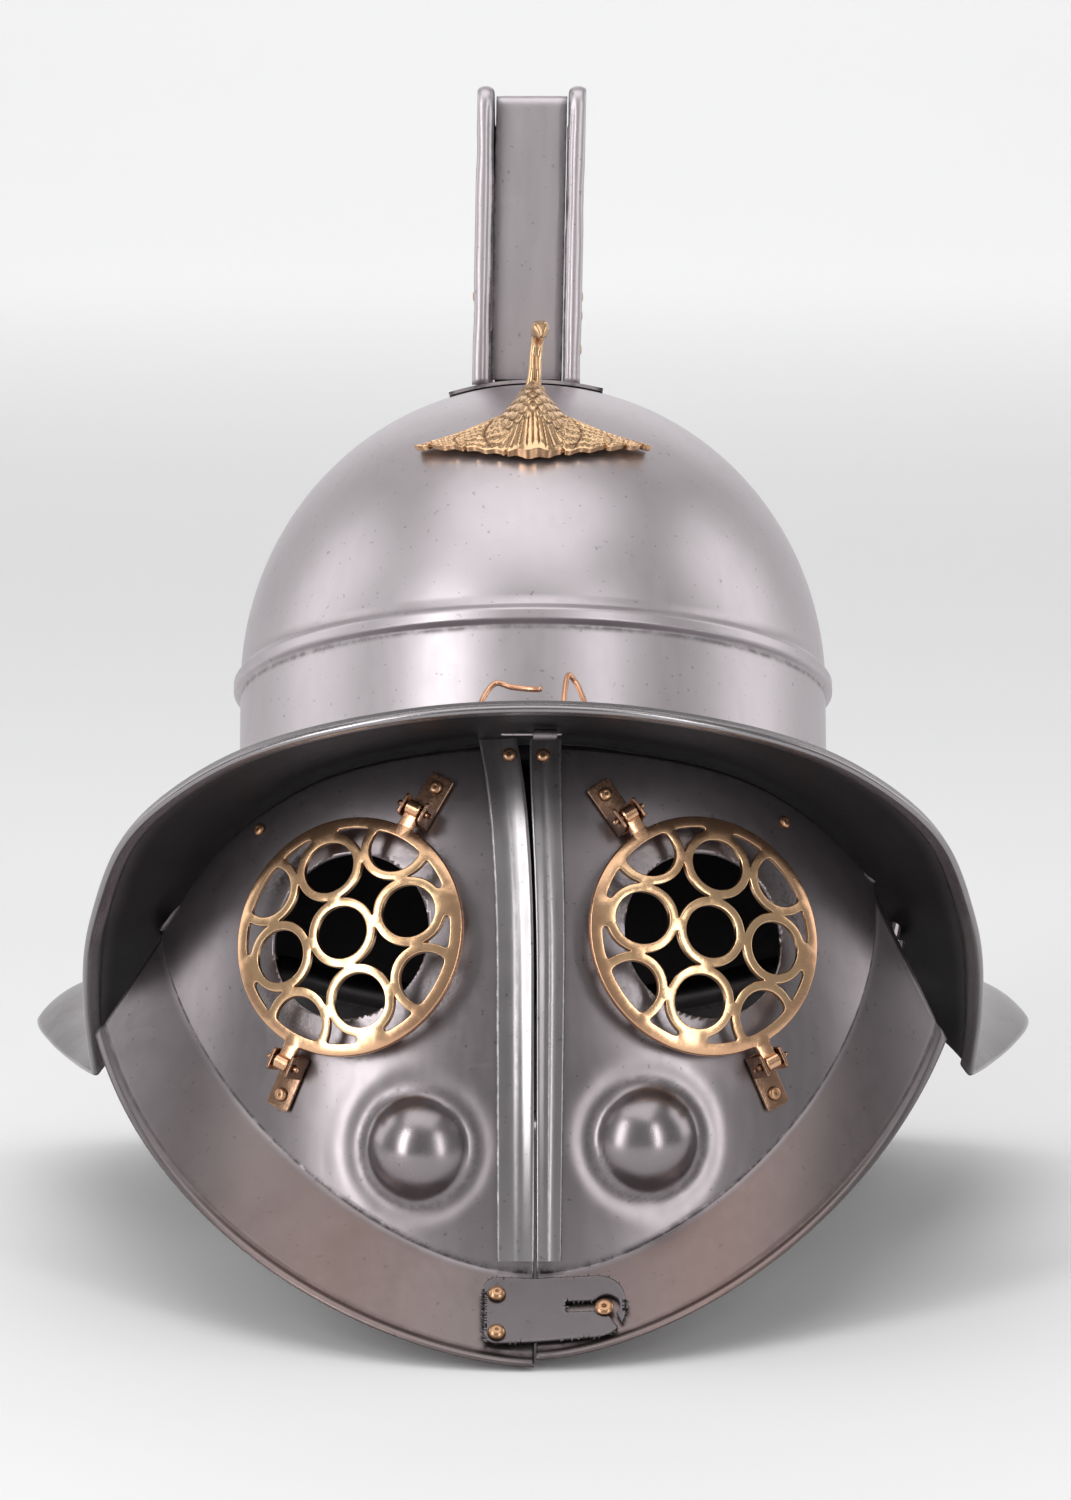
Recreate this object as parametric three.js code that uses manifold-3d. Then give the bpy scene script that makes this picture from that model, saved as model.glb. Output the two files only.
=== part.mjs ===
// Gladiator helmet of the thraex kind: a domed steel bowl with a drooping brim, a tall hollow crest,
// a small brass bird, and a face guard of two hinged halves with pierced brass eye grilles.
// Millimetres, +Z up. The pieces are worked out in the wearer's frame, with the bowl's axis upright,
// and the whole helmet is then tipped back to lie on its chin and the rim of its neck guard.

import * as THREE from 'three';
import { mergeVertices } from 'three/addons/utils/BufferGeometryUtils.js';
import Module from 'manifold-3d';

const wasm = await Module();
wasm.setup();

// Sheet and fits
const sheet = 1.2;
const seat = 0.3;
const hemWidth = 6.5;
const hemThickness = 2.8;

// Bowl
const bowlHalfWidth = 104.5;
const bowlHalfLength = 120;
const bandHeight = 34;
const domeHeight = 108;
const ridgeHeight = 9;
const ridgeProud = 2.5;

// Brim, with its lengths as shares of the reach in front and of the drop at the temple points
const brimReach = 185;
const brimDrop = 107.5;
const collarHeight = 10;

// Face guard
const faceHalfWidth = 140;
const faceDepth = 113;
const faceSetForward = 25;
const faceClear = 3;
const faceMid = 95;
const faceBulge = 0.105;
const faceBulgeReach = 98;
const chinCrease = 190.5;
const creaseStart = 4;
const chinEdge = 223;
const flangeHalfWidth = 157;
const flangeDepth = 120;
const flangeLip = 3;
const seamGap = 0.7;
const seamGapTop = 3;
const seamDrift = 3.75;
const seamReach = 80;

// Eyes and grilles
const eyeDown = 78;
const eyeHole = 56;
const eyeCutDepth = 60;
const grilleRadius = 40.4;
const grilleRim = 3.8;
const grilleThickness = 2.4;
const grilleStandoff = 3.4;
const grilleDome = 6.6;
const grilleInward = 2.8;
const grilleDown = 1.7;
const ringPitch = 23.6;
const ringHole = 9.1;
const ringBand = 2.85;
const earReach = 5.2;
const earWidth = 5.2;
const earBarrel = 2.7;
const grillePinRadius = 1;

// Cheek bosses
const bossRadius = 16.5;
const bossHeight = 7;
const bossGroove = 2.6;
const swellRadius = 34;
const swellHeight = 3.2;
const patchLap = 0.6;

// Brackets that hold the grilles
const bracketWidth = 9;
const bracketTail = 12;
const bracketSheet = 1.1;
const finLength = 7.5;

// Seam strips and their rivets
const stripWidth = 12.5;
const stripKeel = 2.2;
const stripSeat = 0.5;
const rivetRadius = 2.8;
const rivetRise = 1.9;

// Hinges at the temples
const hingeSide = 122;
const hingeForward = 62;
const hingePinRadius = 2.2;
const hingeBarrel = 4.6;
const hingeBarrelHeight = 13;
const hingeLean = 12;
const hingeSplay = 12;
const hingeStrapWidth = 10;
const strapGap = 0.65;

// Chin latch
const latchLeft = 16;
const latchRight = 30;
const latchStudSide = 24;
const latchHole = 4.4;
const latchSlotHeight = 4.5;
const latchSlotLength = 9;
const latchSlit = 1.1;
const latchSlitLength = 26;
const latchCutDepth = 12;
const studHead = 3.15;
const studRise = 3.4;

// Crest
const crestWidth = 38.6;
const crestRoll = 3.2;
const crestFoot = 33;
const crestTop = 241.5;
const crestLeanForward = 33;
const crestTailIn = 12;
const crestTailHeight = 12;
const crestShift = -0.3;
const crestLean = 0.021;
const crestStripInset = 5;
const crestRivetRise = 2.9;
const crestBaseWidth = 54;
const crestRivetCount = 4;
const crestTail = bowlHalfLength - crestTailIn;

// Bird
const birdSpan = 78;
const birdFrontIn = 18;
const birdLength = 40;
const birdBody = 7;
const birdWing = 3;
const birdNeck = 1.9;
const birdNeckHeight = 20;
const birdFront = bowlHalfLength - birdFrontIn;
const birdBack = birdFront - birdLength;

// Wires and lug where the face guard is made fast to the brim
const wireRadius = 0.95;
const lugRadius = 1.8;
const lugWidth = 8;
const lugForward = 12;

const brushed = { color: 0x8e888c, metalness: 1, roughness: 0.34 };
const darkSteel = { color: 0x6f6a6d, metalness: 1, roughness: 0.38 };
const brass = { color: 0xcfa36a, metalness: 1, roughness: 0.28 };
const bronze = { color: 0x8c6242, metalness: 1, roughness: 0.4 };
const copper = { color: 0xb5764e, metalness: 1, roughness: 0.35 };

const degrees = Math.PI / 180;
const vec = (x, y, z) => new THREE.Vector3(x, y, z);
const mix = THREE.MathUtils.lerp;

// A closed body from its points and triangles, turned so that its faces point out.
function closedBody(points, index) {
  const positions = new Float32Array(points.length * 3);
  points.forEach((p, i) => p.toArray(positions, 3 * i));
  let volume = 0;
  for (let t = 0; t < index.length; t += 3) {
    const [a, b, c] = [points[index[t]], points[index[t + 1]], points[index[t + 2]]];
    volume += a.dot(b.clone().cross(c));
  }
  if (volume < 0) {
    index.reverse();
  }
  const geometry = new THREE.BufferGeometry();
  geometry.setAttribute('position', new THREE.BufferAttribute(positions, 3));
  geometry.setIndex(index);
  geometry.computeVertexNormals();
  return geometry;
}

// A sheet between two grids of points, closed round its edges; a wrapped sheet joins its last row to
// its first.
function sheetBody(outer, inner, wrap = false) {
  const rows = outer.length;
  const cols = outer[0].length;
  const index = [];
  const at = (side, i, j) => side * rows * cols + (i % rows) * cols + j;
  const quad = (a, b, c, d) => index.push(a, b, c, a, c, d);
  const last = wrap ? rows : rows - 1;
  for (let i = 0; i < last; i += 1) {
    for (let j = 0; j < cols - 1; j += 1) {
      quad(at(0, i, j), at(0, i + 1, j), at(0, i + 1, j + 1), at(0, i, j + 1));
      quad(at(1, i, j), at(1, i, j + 1), at(1, i + 1, j + 1), at(1, i + 1, j));
    }
    quad(at(0, i, 0), at(1, i, 0), at(1, i + 1, 0), at(0, i + 1, 0));
    quad(at(0, i, cols - 1), at(0, i + 1, cols - 1), at(1, i + 1, cols - 1), at(1, i, cols - 1));
  }
  if (!wrap) {
    for (let j = 0; j < cols - 1; j += 1) {
      quad(at(0, 0, j), at(0, 0, j + 1), at(1, 0, j + 1), at(1, 0, j));
      quad(at(0, last, j), at(1, last, j), at(1, last, j + 1), at(0, last, j + 1));
    }
  }
  return closedBody([...outer.flat(), ...inner.flat()], index);
}

// Unit normals of a grid of points, from the steps to each point's neighbours.
function gridNormals(grid, wrap = false) {
  const rows = grid.length;
  const cols = grid[0].length;
  return grid.map((row, i) => row.map((_, j) => {
    const before = wrap ? (i + rows - 1) % rows : Math.max(i - 1, 0);
    const after = wrap ? (i + 1) % rows : Math.min(i + 1, rows - 1);
    const along = grid[after][j].clone().sub(grid[before][j]);
    const across = grid[i][Math.min(j + 1, cols - 1)].clone().sub(grid[i][Math.max(j - 1, 0)]);
    return along.cross(across).normalize();
  }));
}

const offsetGrid = (grid, normals, depth) => grid.map((row, i) => row.map(
  (p, j) => p.clone().addScaledVector(normals[i][j], depth(i, j))));

// A body through rings of points, closed at both ends by fans to the given poles or to the rings'
// middles.
function ringBody(rings, poles = []) {
  const count = rings[0].length;
  const points = rings.flat();
  const index = [];
  for (let i = 0; i < rings.length - 1; i += 1) {
    for (let k = 0; k < count; k += 1) {
      const a = i * count + k;
      const b = i * count + ((k + 1) % count);
      index.push(a, b, b + count, a, b + count, a + count);
    }
  }
  [0, rings.length - 1].forEach((row, end) => {
    const middle = points.length;
    const sum = rings[row].reduce((total, p) => total.add(p), vec(0, 0, 0));
    points.push(poles[end] ?? sum.divideScalar(count));
    for (let k = 0; k < count; k += 1) {
      const a = row * count + k;
      const b = row * count + ((k + 1) % count);
      index.push(...(row ? [a, b, middle] : [b, a, middle]));
    }
  });
  return closedBody(points, index);
}

// A round rod along a list of points, its radius given for each point.
function rod(points, radius, sides, flat = 1) {
  let side = vec(0, 0, 1);
  const rings = points.map((p, i) => {
    const before = points[Math.max(i - 1, 0)];
    const after = points[Math.min(i + 1, points.length - 1)];
    const along = after.clone().sub(before).normalize();
    side = side.addScaledVector(along, -side.dot(along));
    if (side.length() < 0.2) {
      side = vec(1, 0, 0).addScaledVector(along, -along.x);
    }
    side.normalize();
    const cross = along.clone().cross(side);
    return Array.from({ length: sides }, (_, k) => {
      const turn = (2 * Math.PI * k) / sides;
      const size = typeof radius === 'function' ? radius(i / (points.length - 1)) : radius;
      return p.clone()
        .addScaledVector(side, size * Math.cos(turn))
        .addScaledVector(cross, flat * size * Math.sin(turn));
    });
  });
  return ringBody(rings);
}

function toSolid(geometry) {
  const bare = geometry.clone();
  bare.deleteAttribute('normal');
  bare.deleteAttribute('uv');
  const merged = mergeVertices(bare, 1e-4);
  return new wasm.Manifold(new wasm.Mesh({
    numProp: 3,
    vertProperties: merged.getAttribute('position').array,
    triVerts: new Uint32Array(merged.getIndex().array),
  }));
}

function fromSolid(solid) {
  const mesh = solid.getMesh();
  const geometry = new THREE.BufferGeometry();
  geometry.setAttribute('position', new THREE.BufferAttribute(mesh.vertProperties, 3));
  geometry.setIndex(new THREE.BufferAttribute(mesh.triVerts, 1));
  geometry.computeVertexNormals();
  return geometry;
}

// A matrix whose axes are u, v and w and whose origin is p.
const frameAt = (u, v, w, p) => new THREE.Matrix4().makeBasis(u, v, w).setPosition(p);

// A right-handed frame whose third axis is the normal and whose first leans towards the given way.
function frameOn(p, normal, way) {
  const u = way.clone().addScaledVector(normal, -way.dot(normal)).normalize();
  return frameAt(u, normal.clone().cross(u), normal, p);
}

const helmet = new THREE.Group();

function add(name, geometry, look) {
  const mesh = new THREE.Mesh(geometry, new THREE.MeshStandardMaterial(look));
  mesh.name = name;
  helmet.add(mesh);
  return mesh;
}

// Height of the dome's outer face over a plan point.
function domeZ(x, y) {
  const spread = (x / bowlHalfWidth) ** 2 + (y / bowlHalfLength) ** 2;
  return bandHeight + domeHeight * Math.sqrt(Math.max(0, 1 - spread));
}

function domeNormal(x, y) {
  const z = domeZ(x, y) - bandHeight;
  return vec(x / bowlHalfWidth ** 2, y / bowlHalfLength ** 2, z / domeHeight ** 2).normalize();
}

// Height over a plan point of a face parallel to the dome.
const overDome = (x, y, out) => domeZ(x, y) + out / domeNormal(x, y).z;

const onDome = (x, y, out) => vec(x, y, domeZ(x, y)).addScaledVector(domeNormal(x, y), out);

// Bowl's lower edge and brim: stations round one side from the front, each with the angle in degrees,
// the depth of the bowl's edge, the rim's reach from the axis and its drop, and the slopes in degrees
// at which the sheet leaves the bowl and comes to the rim
const brimStations = [
  { angle: 0, foot: 0.093, reach: 1, drop: 0.113, leave: 2, arrive: 2 },
  { angle: 13.5, foot: 0.102, reach: 0.998, drop: 0.13, leave: 3, arrive: 3 },
  { angle: 30.5, foot: 0.15, reach: 0.99, drop: 0.195, leave: 5, arrive: 4 },
  { angle: 41.7, foot: 0.235, reach: 0.988, drop: 0.295, leave: 8, arrive: 5 },
  { angle: 51, foot: 0.335, reach: 0.974, drop: 0.415, leave: 12, arrive: 8 },
  { angle: 59.6, foot: 0.45, reach: 0.944, drop: 0.6, leave: 20, arrive: 14 },
  { angle: 70.5, foot: 0.56, reach: 0.892, drop: 0.775, leave: 26, arrive: 28 },
  { angle: 77.4, foot: 0.61, reach: 0.864, drop: 0.885, leave: 26, arrive: 46 },
  { angle: 82.6, foot: 0.65, reach: 0.843, drop: 1, leave: 24, arrive: 58, sharp: true },
  { angle: 93.5, foot: 0.67, reach: 0.893, drop: 0.91, leave: 18, arrive: 54 },
  { angle: 102.9, foot: 0.65, reach: 0.969, drop: 0.807, leave: 6, arrive: 52 },
  { angle: 113.6, foot: 0.61, reach: 1.078, drop: 0.672, leave: -8, arrive: 52 },
  { angle: 121, foot: 0.585, reach: 1.12, drop: 0.6, leave: -6, arrive: 40 },
  { angle: 130, foot: 0.577, reach: 1.11, drop: 0.64, leave: 2, arrive: 24 },
  { angle: 141, foot: 0.585, reach: 1.07, drop: 0.78, leave: 14, arrive: 18 },
  { angle: 152, foot: 0.595, reach: 1.025, drop: 0.905, leave: 26, arrive: 20 },
  { angle: 165, foot: 0.605, reach: 0.972, drop: 0.9, leave: 32, arrive: 22 },
  { angle: 180, foot: 0.605, reach: 0.951, drop: 0.878, leave: 35, arrive: 22 },
];

// A station value at any angle: a cubic whose slopes come from the rows on both sides, but from one
// side only at the ends and at a sharp row.
function atStation(key, angle) {
  const rows = brimStations;
  let n = rows.findIndex((row) => row.angle > angle) - 1;
  n = n < 0 ? rows.length - 2 : n;
  const [low, high] = [rows[n], rows[n + 1]];
  const slope = (a, b) => (b[key] - a[key]) / (b.angle - a.angle);
  const here = slope(low, high);
  const startFree = n === 0 || low.sharp;
  const endFree = n === rows.length - 2 || high.sharp;
  const start = startFree ? here : slope(rows[n - 1], high);
  const end = endFree ? here : slope(low, rows[n + 2]);
  const width = high.angle - low.angle;
  const t = (angle - low.angle) / width;
  const level = n === 0 ? 0 : start;
  const final = n === rows.length - 2 ? 0 : end;
  return low[key] * (1 + 2 * t) * (1 - t) ** 2 + high[key] * t * t * (3 - 2 * t)
    + width * (level * t * (1 - t) ** 2 - final * t * t * (1 - t));
}

// Plan direction at an angle from the front, positive towards +X.
const planWay = (angle) => vec(Math.sin(angle * degrees), -Math.cos(angle * degrees), 0);

// Plan radius of the bowl's ellipse, with its half width given.
function bowlPlan(angle, halfWidth) {
  const way = planWay(angle);
  const halfLength = halfWidth + bowlHalfLength - bowlHalfWidth;
  return 1 / Math.hypot(way.x / halfWidth, way.y / halfLength);
}

// The angle from the front on either side, from 0 to 180.
const foldAngle = (angle) => (Math.abs(angle) > 180 ? 360 - Math.abs(angle) : Math.abs(angle));
const footZ = (angle) => -atStation('foot', foldAngle(angle)) * brimDrop;

// Top face of the brim: angle round the helmet and share of the way from the bowl to the rim.
function brimPoint(angle, share) {
  const turn = foldAngle(angle);
  const foot = bowlPlan(angle, bowlHalfWidth);
  const rim = atStation('reach', turn) * brimReach;
  const low = atStation('foot', turn) * brimDrop;
  const drop = atStation('drop', turn) * brimDrop - low;
  const chord = Math.hypot(rim - foot, drop);
  const leave = atStation('leave', turn) * degrees;
  const arrive = atStation('arrive', turn) * degrees;
  const t = share;
  const [h0, h1] = [(1 + 2 * t) * (1 - t) ** 2, t * t * (3 - 2 * t)];
  const [h2, h3] = [t * (1 - t) ** 2 * chord, -t * t * (1 - t) * chord];
  const out = h0 * foot + h1 * rim + h2 * Math.cos(leave) + h3 * Math.cos(arrive);
  const down = h1 * drop + h2 * Math.sin(leave) + h3 * Math.sin(arrive);
  return planWay(angle).multiplyScalar(out).setZ(-seat - low - down);
}

const templePoint = brimStations.find((row) => row.sharp).angle;

function brimAngles() {
  const half = [];
  for (let k = 0; k < 9; k += 1) {
    half.push((k / 9) * templePoint);
  }
  for (let k = 0; k < 10; k += 1) {
    half.push(mix(templePoint, 180, k / 10));
  }
  const back = half.slice(1).reverse().map((angle) => 360 - angle);
  return [...half, 180, ...back];
}

function brimGeometry() {
  const shares = [0, 0.2, 0.4, 0.6, 0.8];
  const outer = brimAngles().map((angle) => {
    const rimTurn = angle > 180 ? angle - 360 : angle;
    const length = brimPoint(rimTurn, 1).distanceTo(brimPoint(rimTurn, 0.9)) * 10;
    const hem = 1 - hemWidth / length;
    const inside = bowlPlan(angle, bowlHalfWidth - sheet - seat);
    const collar = planWay(angle).multiplyScalar(inside);
    const flare = [...shares, hem - 0.01, hem, 1 - 0.006, 1].map((share) => brimPoint(rimTurn, share));
    const foot = footZ(rimTurn) - seat;
    return [collar.clone().setZ(foot + collarHeight), collar.clone().setZ(foot), ...flare];
  });
  const cols = outer[0].length;
  const normals = gridNormals(outer, true).map((row) => row.map((n) => n.negate()));
  normals.forEach((row, i) => {
    const way = outer[i][0].clone().setZ(0).normalize();
    row[0] = way.clone();
    row[1] = way.clone().setZ(1).normalize();
    row[2] = vec(0, 0, 1);
  });
  const depths = { [cols - 1]: 0.8 * hemThickness, [cols - 2]: hemThickness, [cols - 3]: hemThickness };
  const inner = offsetGrid(outer, normals, (i, j) => -(depths[j] ?? sheet));
  const rounded = offsetGrid(outer, normals, (i, j) => (j === cols - 1 ? -0.25 * hemThickness : 0));
  return sheetBody(rounded, inner, true);
}

// Bowl: a dome with a raised bead round it, its wall going down to the brim
function bowlGeometry() {
  const angles = brimAngles();
  const beadTop = 0.42 * ridgeHeight;
  const bead = [[0.42, 0], [0.3, 0.75], [0.04, 1], [-0.3, 0.85], [-0.5, 0]];
  const ring = (size, z) => angles.map((angle) => {
    const halfWidth = bowlHalfWidth + size;
    const p = planWay(angle).multiplyScalar(bowlPlan(angle, halfWidth));
    return p.setZ(typeof z === 'function' ? z(angle) : z);
  });
  const domeRing = (turn, inset) => {
    const share = Math.sin(turn);
    const shell = ring(-inset, bandHeight + (domeHeight - inset) * Math.cos(turn));
    return shell.map((p) => vec(p.x * share, p.y * share, p.z));
  };
  const outer = [];
  const steps = 8;
  const reach = Math.PI / 2 - Math.asin(beadTop / domeHeight);
  for (let k = 1; k <= steps; k += 1) {
    outer.push(domeRing((k / steps) * reach, 0));
  }
  bead.slice(1).forEach(([rise, proud]) => outer.push(
    ring(proud * ridgeProud, bandHeight + rise * ridgeHeight)));
  outer.push(ring(0, footZ));
  const inner = [ring(-sheet, footZ)];
  for (let k = 6; k >= 1; k -= 1) {
    inner.push(domeRing((k / 6) * (Math.PI / 2), sheet));
  }
  const apex = bandHeight + domeHeight;
  return ringBody([...outer, ...inner], [vec(0, 0, apex), vec(0, 0, apex - sheet)]);
}

add('bowl', bowlGeometry(), brushed);
add('brim', brimGeometry(), darkSteel);

// Share of the way to the rim at which the brim stands over a plan point.
function brimShare(x, y) {
  const angle = Math.atan2(x, -y) / degrees;
  let [low, high] = [0, 1];
  for (let k = 0; k < 30; k += 1) {
    const middle = (low + high) / 2;
    const p = brimPoint(angle, middle);
    if (Math.hypot(p.x, p.y) < Math.hypot(x, y)) {
      low = middle;
    } else {
      high = middle;
    }
  }
  return { angle, share: low };
}

// Height of a face parallel to the brim's top, the given distance above it.
function brimZ(x, y, above) {
  const { angle, share } = brimShare(x, y);
  const p = brimPoint(angle, share);
  const q = brimPoint(angle, share + 0.02);
  const run = Math.hypot(q.x - p.x, q.y - p.y);
  return p.z + (above * Math.hypot(run, q.z - p.z)) / run;
}

// Face guard: each half has its own span, as beaten sheets do; angles in degrees round the face,
// falls in millimetres below the bowl's edge
const halves = [
  { name: 'left', side: -1, creaseAngle: 66, power: 1.85, round: 0,
    edgeAngle: 71.8, edgeEnd: 101.2, edgePower: 1.68, chinLift: 0, rivetIn: 3.6, rivetLift: 1, eyeSide: 61.4,
    strapFrom: { x: 92, z: 41 } },
  { name: 'right', side: 1, creaseAngle: 57.5, power: 1.8, round: 0.5,
    edgeAngle: 62.8, edgeEnd: 105.7, edgePower: 1.66, chinLift: 2.4, rivetIn: 4.5, rivetLift: 0.35, eyeSide: 57.4,
    strapFrom: { x: 84.5, z: 39.5 } },
];

// Swell of the face with height: widest at faceMid, drawn in above and below.
const swellAt = (z) => 1 - faceBulge * ((z + faceMid) / faceBulgeReach) ** 2;

function facePoint(angle, z) {
  const size = swellAt(z);
  return vec(faceHalfWidth * size * Math.sin(angle * degrees),
    -faceSetForward - faceDepth * size * Math.cos(angle * degrees), z);
}

function faceAt(x, z) {
  const size = swellAt(z);
  return facePoint(Math.asin(x / (faceHalfWidth * size)) / degrees, z);
}

function faceNormal(x, z) {
  const p = faceAt(x, z);
  const along = faceAt(x + 0.5, z).sub(p);
  const up = faceAt(x, z + 0.5).sub(p);
  return along.cross(up).normalize();
}

const seamOpen = (z) => seamGap + seamGapTop * Math.max(0, (z + faceMid) / seamReach) ** 5;
const seamMiddle = (z) => seamGap - seamDrift * Math.max(0, (z + faceMid) / seamReach) ** 2;
const seamEdge = (side, z) => seamMiddle(z) + (side * seamOpen(z)) / 2;

// Height of the plates' upper edge, a small way below the brim's underside.
function topEdge(angle) {
  let z = -faceMid / 2;
  for (let k = 0; k < 5; k += 1) {
    const p = facePoint(angle, z);
    z = brimZ(p.x, p.y, -sheet - faceClear);
  }
  return z;
}

const riseOf = (share, power, round) => (1 - round) * share ** power
  + round * (1 - Math.sqrt(Math.max(0, 1 - share * share)));

function halfPoint(half, across, down) {
  const share = mix(across, Math.sin((across * Math.PI) / 2), half.round);
  const angle = share * half.creaseAngle;
  const top = topEdge(half.side * angle);
  const end = topEdge(half.side * half.creaseAngle) - creaseStart;
  const crease = mix(-chinCrease, end, riseOf(share, half.power, half.round));
  const z = mix(top, crease, Math.min(down, 1));
  const face = facePoint(half.side * angle, z);
  if (down <= 1) {
    return faceAt(face.x + (1 - across) ** 3 * seamEdge(half.side, z), z);
  }
  const edgeTurn = across * half.edgeAngle * degrees;
  const lowest = -(chinEdge - half.chinLift);
  const edge = vec(half.side * flangeHalfWidth * Math.sin(edgeTurn),
    -faceSetForward - flangeDepth * Math.cos(edgeTurn),
    mix(lowest, -half.edgeEnd, across ** half.edgePower));
  const out = face.lerp(edge, down - 1);
  out.x += (1 - across) ** 3 * seamEdge(half.side, out.z);
  return out;
}

// Cheek bosses: a round dome in a ring groove, within a soft swelling
const bosses = [
  { side: -1, x: -38, z: -149.6 },
  { side: 1, x: 37.7, z: -146.9 },
];

// Swell of the plate at a distance from the boss's centre, and the boss and its groove on top of it.
const swellLift = (d) => (swellHeight * (1 + Math.cos(Math.PI * Math.min(1, d / swellRadius)))) / 2;

function bossLift(d) {
  const dome = bossHeight * Math.sqrt(Math.max(0, 1 - (d / bossRadius) ** 2));
  const groove = bossGroove * Math.exp(-(((d - 1.15 * bossRadius) / (0.2 * bossRadius)) ** 2));
  return swellLift(d) + dome - groove;
}

// The round patch of plate that carries a boss, and the tool that clears its place in the plate.
function bossPatch(boss) {
  const sides = 20;
  const sizes = [0.4, 0.7, 0.9, 1, 1.08, 1.2, 1.5];
  const centre = faceAt(boss.x, boss.z);
  const frame = frameOn(centre, faceNormal(boss.x, boss.z), vec(1, 0, 0));
  const ring = (size, depth) => Array.from({ length: sides }, (_, k) => {
    const turn = (2 * Math.PI * k) / sides;
    const d = size * bossRadius;
    const p = vec(d * Math.cos(turn), d * Math.sin(turn), 0).applyMatrix4(frame);
    return faceAt(p.x, p.z).addScaledVector(faceNormal(p.x, p.z), bossLift(d) - depth);
  });
  const poles = [0, sheet].map((depth) => ring(0, depth)[0]);
  const rings = [...sizes.map((size) => ring(size, 0)), ...sizes.map((size) => ring(size, sheet)).reverse()];
  const radius = sizes[sizes.length - 1] * bossRadius;
  return { patch: toSolid(ringBody(rings, poles)), frame, radius, sides };
}

function eyeFrame(half) {
  const at = faceAt(half.side * half.eyeSide, -eyeDown);
  return frameOn(at, faceNormal(at.x, at.z), vec(1, 0, 0));
}

function drill(matrix, radius, sides, length = eyeCutDepth) {
  const geometry = new THREE.CylinderGeometry(radius, radius, length, sides, 1, false, Math.PI / 2);
  geometry.rotateX(Math.PI / 2);
  geometry.applyMatrix4(matrix);
  return toSolid(geometry);
}

// Shares across and down each half
const plateAcross = [0, 0.06, 0.13, 0.2, 0.27, 0.34, 0.41, 0.5, 0.6, 0.7, 0.8, 0.9, 1];
const faceDowns = [0, 0.17, 0.34, 0.5, 0.62, 0.7, 0.78, 0.86, 0.94, 1];
const flangeRows = [0.03, 0.35, 0.65, 0.9, 0.935, 1];

function plateGrid(half) {
  const downs = [...faceDowns, ...flangeRows.map((share) => 1 + share)];
  return plateAcross.map((across) => downs.map((down) => halfPoint(half, across, down)));
}

function plateGeometry(half) {
  const boss = bosses.find((one) => one.side === half.side);
  const grid = plateGrid(half);
  const normals = gridNormals(grid);
  const turn = half.side > 0 ? -1 : 1;
  const out = normals.map((row) => row.map((n) => n.clone().multiplyScalar(turn)));
  const centre = faceAt(boss.x, boss.z);
  const lift = (p, j) => (j < faceDowns.length - 1 ? swellLift(p.distanceTo(centre)) : 0);
  const raised = offsetGrid(grid, out, (i, j) => lift(grid[i][j], j));
  const lip = (j) => (j >= grid[0].length - 2 ? (flangeLip - sheet) / 2 : 0);
  const outer = offsetGrid(raised, out, (i, j) => lip(j));
  const inner = offsetGrid(raised, out, (i, j) => -sheet - lip(j));
  const eye = drill(eyeFrame(half), eyeHole / 2, 28, 30);
  const { patch, frame, radius, sides } = bossPatch(boss);
  const seatHole = drill(frame, radius - patchLap, sides, 16);
  return fromSolid(toSolid(sheetBody(outer, inner)).subtract(seatHole).add(patch).subtract(eye));
}

// A domed rivet head on a surface point.
function rivet(name, p, normal, look, radius = rivetRadius, rise = rivetRise) {
  const profile = [[0, 0], [radius, 0], [0.8 * radius, 0.7 * rise], [0, rise]];
  const geometry = new THREE.LatheGeometry(profile.map(([x, y]) => new THREE.Vector2(x, y)), 8);
  geometry.rotateX(Math.PI / 2);
  geometry.applyMatrix4(frameOn(p.clone().addScaledVector(normal, seat), normal, vec(0.2, 0.1, 1)));
  add(name, fromSolid(toSolid(geometry)), look);
}

// Seam strips: one along each half's inner edge, the left one folded forward into a keel
function stripGeometry(half) {
  const rows = 18;
  const lowest = chinCrease - 4;
  const highest = -topEdge(0) - 2;
  const keel = half.side < 0 ? stripKeel : 0.35 * stripKeel;
  const grids = [sheet, 0].map((lift) => Array.from({ length: rows + 1 }, (_, i) => {
    const t = i / rows;
    const z = -mix(highest, lowest, t);
    const width = stripWidth * (half.side < 0 ? mix(1, 0.95, t) : mix(0.84, 0.64, t));
    const fold = keel * Math.sin(Math.PI * Math.min(1, t * 0.85 + 0.1)) ** 0.7;
    return [0, 0.42, 1].map((across, k) => {
      const x = seamEdge(half.side, z) + half.side * (seat / 2 + across * width);
      const raise = stripSeat + lift + (k === 0 ? fold : 0);
      return faceAt(x, z).addScaledVector(faceNormal(x, z), raise);
    });
  }));
  return sheetBody(grids[0], grids[1]);
}

// Eye grilles, drawn flat round their centre
function arcPoints(x, y, radius, from, to, steps) {
  return Array.from({ length: steps + 1 }, (_, k) => {
    const turn = mix(from, to, k / steps) * degrees;
    return new THREE.Vector2(x + radius * Math.cos(turn), y + radius * Math.sin(turn));
  });
}

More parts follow.
